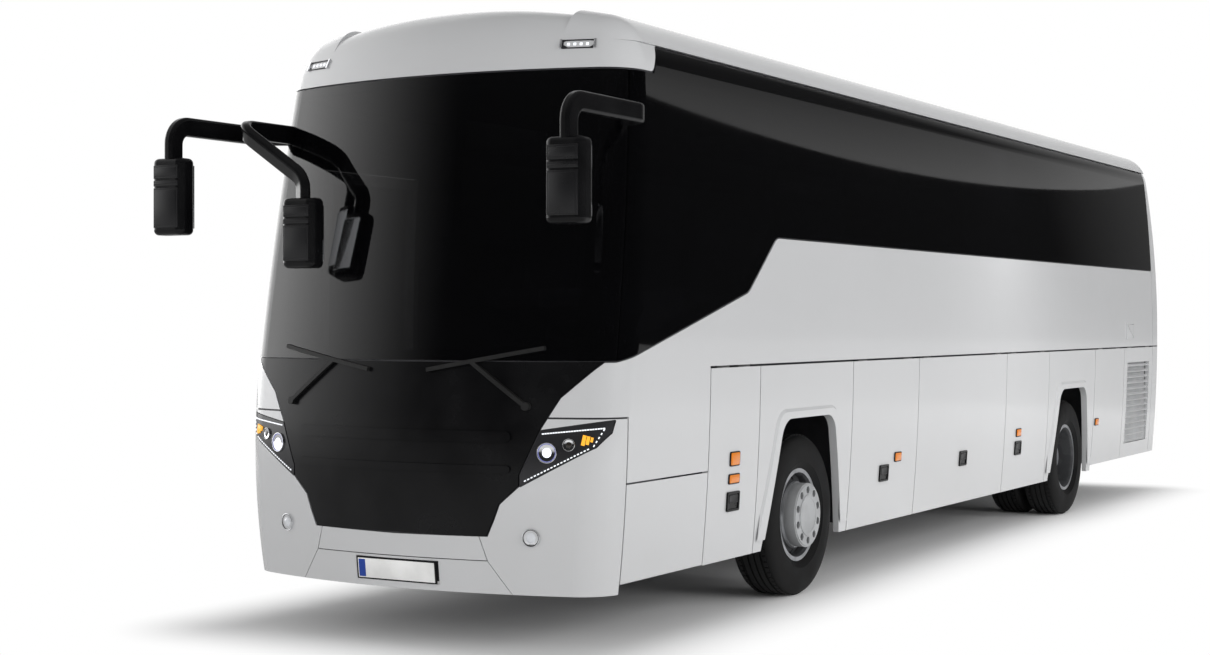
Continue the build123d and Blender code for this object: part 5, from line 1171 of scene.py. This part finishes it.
# Lamps: name, place, aim, length, width, power
LAMPS = (
    ("key", (5.0, 14.0, 5.0), (0.5, 1.0, 1.6), 7.0, 7.0, 540.0),
    ("side_fill", (-7.0, 14.0, 5.0), (-4.5, 1.0, 1.6), 7.0, 7.0, 360.0),
    ("front_fill", (18.0, 1.0, 3.5), (5.0, 0.0, 1.5), 6.0, 6.0, 260.0),
    ("rear_fill", (-16.0, 4.0, 5.0), (-3.0, 0.5, 1.5), 7.0, 7.0, 220.0),
    ("right_fill", (0.0, -14.0, 5.0), (0.0, -1.0, 1.5), 8.0, 8.0, 260.0),
    ("saloon", (-1.0, 0.0, 3.18), (-1.0, 0.0, 0.0), 0.5, 9.0, 60.0),
    ("cab", (5.0, 0.2, 2.95), (4.4, 0.3, 1.4), 0.5, 1.2, 18.0),
)
SENSOR_WIDTH = 36.0
CLIP_END = 400.0


def make_floor():
    """Pale floor that keeps the shadow near the vehicle and turns white further out."""
    fresh()
    bpy.ops.mesh.primitive_plane_add(size=FLOOR_SIZE)
    floor = bpy.context.object
    floor.name = "studio_floor"
    finish = Finish("studio_floor", Roughness=0.9, Specular_IOR_Level=0.0)
    finish.shader.inputs["Base Color"].default_value = FLOOR_COLOUR
    gaps = []
    for letter, half in zip("XY", FOOTPRINT):
        away = (finish.axis(letter) ** 2.0) ** 0.5 - half
        gaps.append(away * (away > 0.0))
    reach = (gaps[0] * gaps[0] + gaps[1] * gaps[1]) ** 0.5
    camera_ray = finish.node("ShaderNodeLightPath", out="Is Camera Ray")
    white = finish.node("ShaderNodeEmission", inputs={"Strength": 1.0})
    share = finish.node("ShaderNodeMapRange", {"interpolation_type": "SMOOTHSTEP"}, {
        "Value": reach, "From Min": SHADOW_REACH[0], "From Max": SHADOW_REACH[1]})
    shade = finish.node("ShaderNodeMixShader", inputs={
        0: share * camera_ray, 1: Value(finish.tree, finish.shader.outputs[0]), 2: white})
    finish.tree.links.new(shade.socket, finish.tree.nodes["Material Output"].inputs["Surface"])
    floor.data.materials.append(finish.material)


def make_world():
    """Even light for surfaces, white behind the vehicle, and a dark studio with light cards for gloss."""
    world = bpy.data.worlds.new("studio")
    bpy.context.scene.world = world
    world.use_nodes = True
    studio = Nodes(world.node_tree)
    aim = studio.node("ShaderNodeTexCoord", out="Generated")
    along, across, up = (
        studio.node("ShaderNodeSeparateXYZ", inputs={"Vector": aim}, out=letter) for letter in "XYZ")
    light_level = studio.spread(up, HORIZON_UP, ZENITH_UP, HORIZON_LEVEL, ZENITH_LEVEL)
    light_level = light_level * studio.spread(up, 0.0, HORIZON_UP, GROUND_LEVEL, 1.0)
    behind = studio.spread(along * BEHIND_AIM[0] + across * BEHIND_AIM[1], *BEHIND_SPAN)
    right_wall = studio.spread(across * -1.0, *RIGHT_WALL_SPAN) ** 2.0 * RIGHT_WALL_LEVEL
    overhead = studio.spread(up, *OVERHEAD_SPAN) * OVERHEAD_LEVEL
    level_length = (along * along + across * across) ** 0.5
    to_corner = (along * CORNER_AIM[0] + across * CORNER_AIM[1]) / level_length
    corner_strip = studio.spread(to_corner, *CORNER_SPAN) * CORNER_LEVEL
    sideways = across - CARD_SIDEWAYS
    above_edge = up - CARD_RISE - sideways * sideways * CARD_CURVE
    card = (above_edge > 0.0) * (across > CARD_FROM) * (along < 0.0)
    card = card * studio.spread(above_edge, 0.0, CARD_FADE, CARD_LEVEL, CARD_DARK)
    gloss_level = DARK_WALL + behind + right_wall + overhead + corner_strip + card
    glossy_ray = studio.node("ShaderNodeLightPath", out="Is Glossy Ray")
    camera_ray = studio.node("ShaderNodeLightPath", out="Is Camera Ray")
    transmission_ray = studio.node("ShaderNodeLightPath", out="Is Transmission Ray")
    level = light_level + glossy_ray * (gloss_level - light_level)
    seen = camera_ray + transmission_ray
    level = level + seen * (1.0 - level)
    background = world.node_tree.nodes["Background"]
    background.inputs["Color"].default_value = (1.0, 1.0, 1.0, 1.0)
    studio.tree.links.new(level.socket, background.inputs["Strength"])


def make_lamps():
    """Soft lamps that shape the vehicle and its saloon without showing in the gloss."""
    for name, place, aim, length, width, power in LAMPS:
        lamp = bpy.data.lights.new(name, "AREA")
        lamp.shape = "RECTANGLE"
        lamp.size = length
        lamp.size_y = width
        lamp.energy = power
        holder = bpy.data.objects.new(name, lamp)
        holder.location = place
        holder.rotation_euler = (Vector(aim) - Vector(place)).to_track_quat("-Z", "Y").to_euler()
        holder.visible_glossy = False
        holder.visible_camera = False
        bpy.context.scene.collection.objects.link(holder)


def make_camera():
    """The camera that took the photograph, its colours shown plainly."""
    lens = bpy.data.cameras.new("photo_camera")
    lens.sensor_width = SENSOR_WIDTH
    lens.lens = lens.sensor_width * FOCAL_PIXELS / PHOTO_WIDTH
    lens.shift_y = -HORIZON_RISE_PIXELS / PHOTO_WIDTH
    lens.clip_end = CLIP_END
    camera = bpy.data.objects.new("photo_camera", lens)
    camera.location = CAMERA_PLACE
    camera.rotation_euler = Vector(CAMERA_AIM).to_track_quat("-Z", "Y").to_euler()
    bpy.context.scene.collection.objects.link(camera)
    bpy.context.scene.camera = camera
    bpy.context.scene.view_settings.view_transform = "Standard"


dress_nodes()
fit_to_flaps(flap_latch, LATCHES, "latch")
fit_to_flaps(side_lamp, SIDE_LAMPS, "side_lamp")
fit_headlamps()
fit_marker_lamps()
fit_tail_lamps()
fit_plate()
fit_mirrors()
fit_tyres()
fit_hub_covers()
fit_seats()
fit_lid_vent()
fit_grille_backs()
fit_rear_hatch()
make_floor()
make_world()
make_lamps()
make_camera()
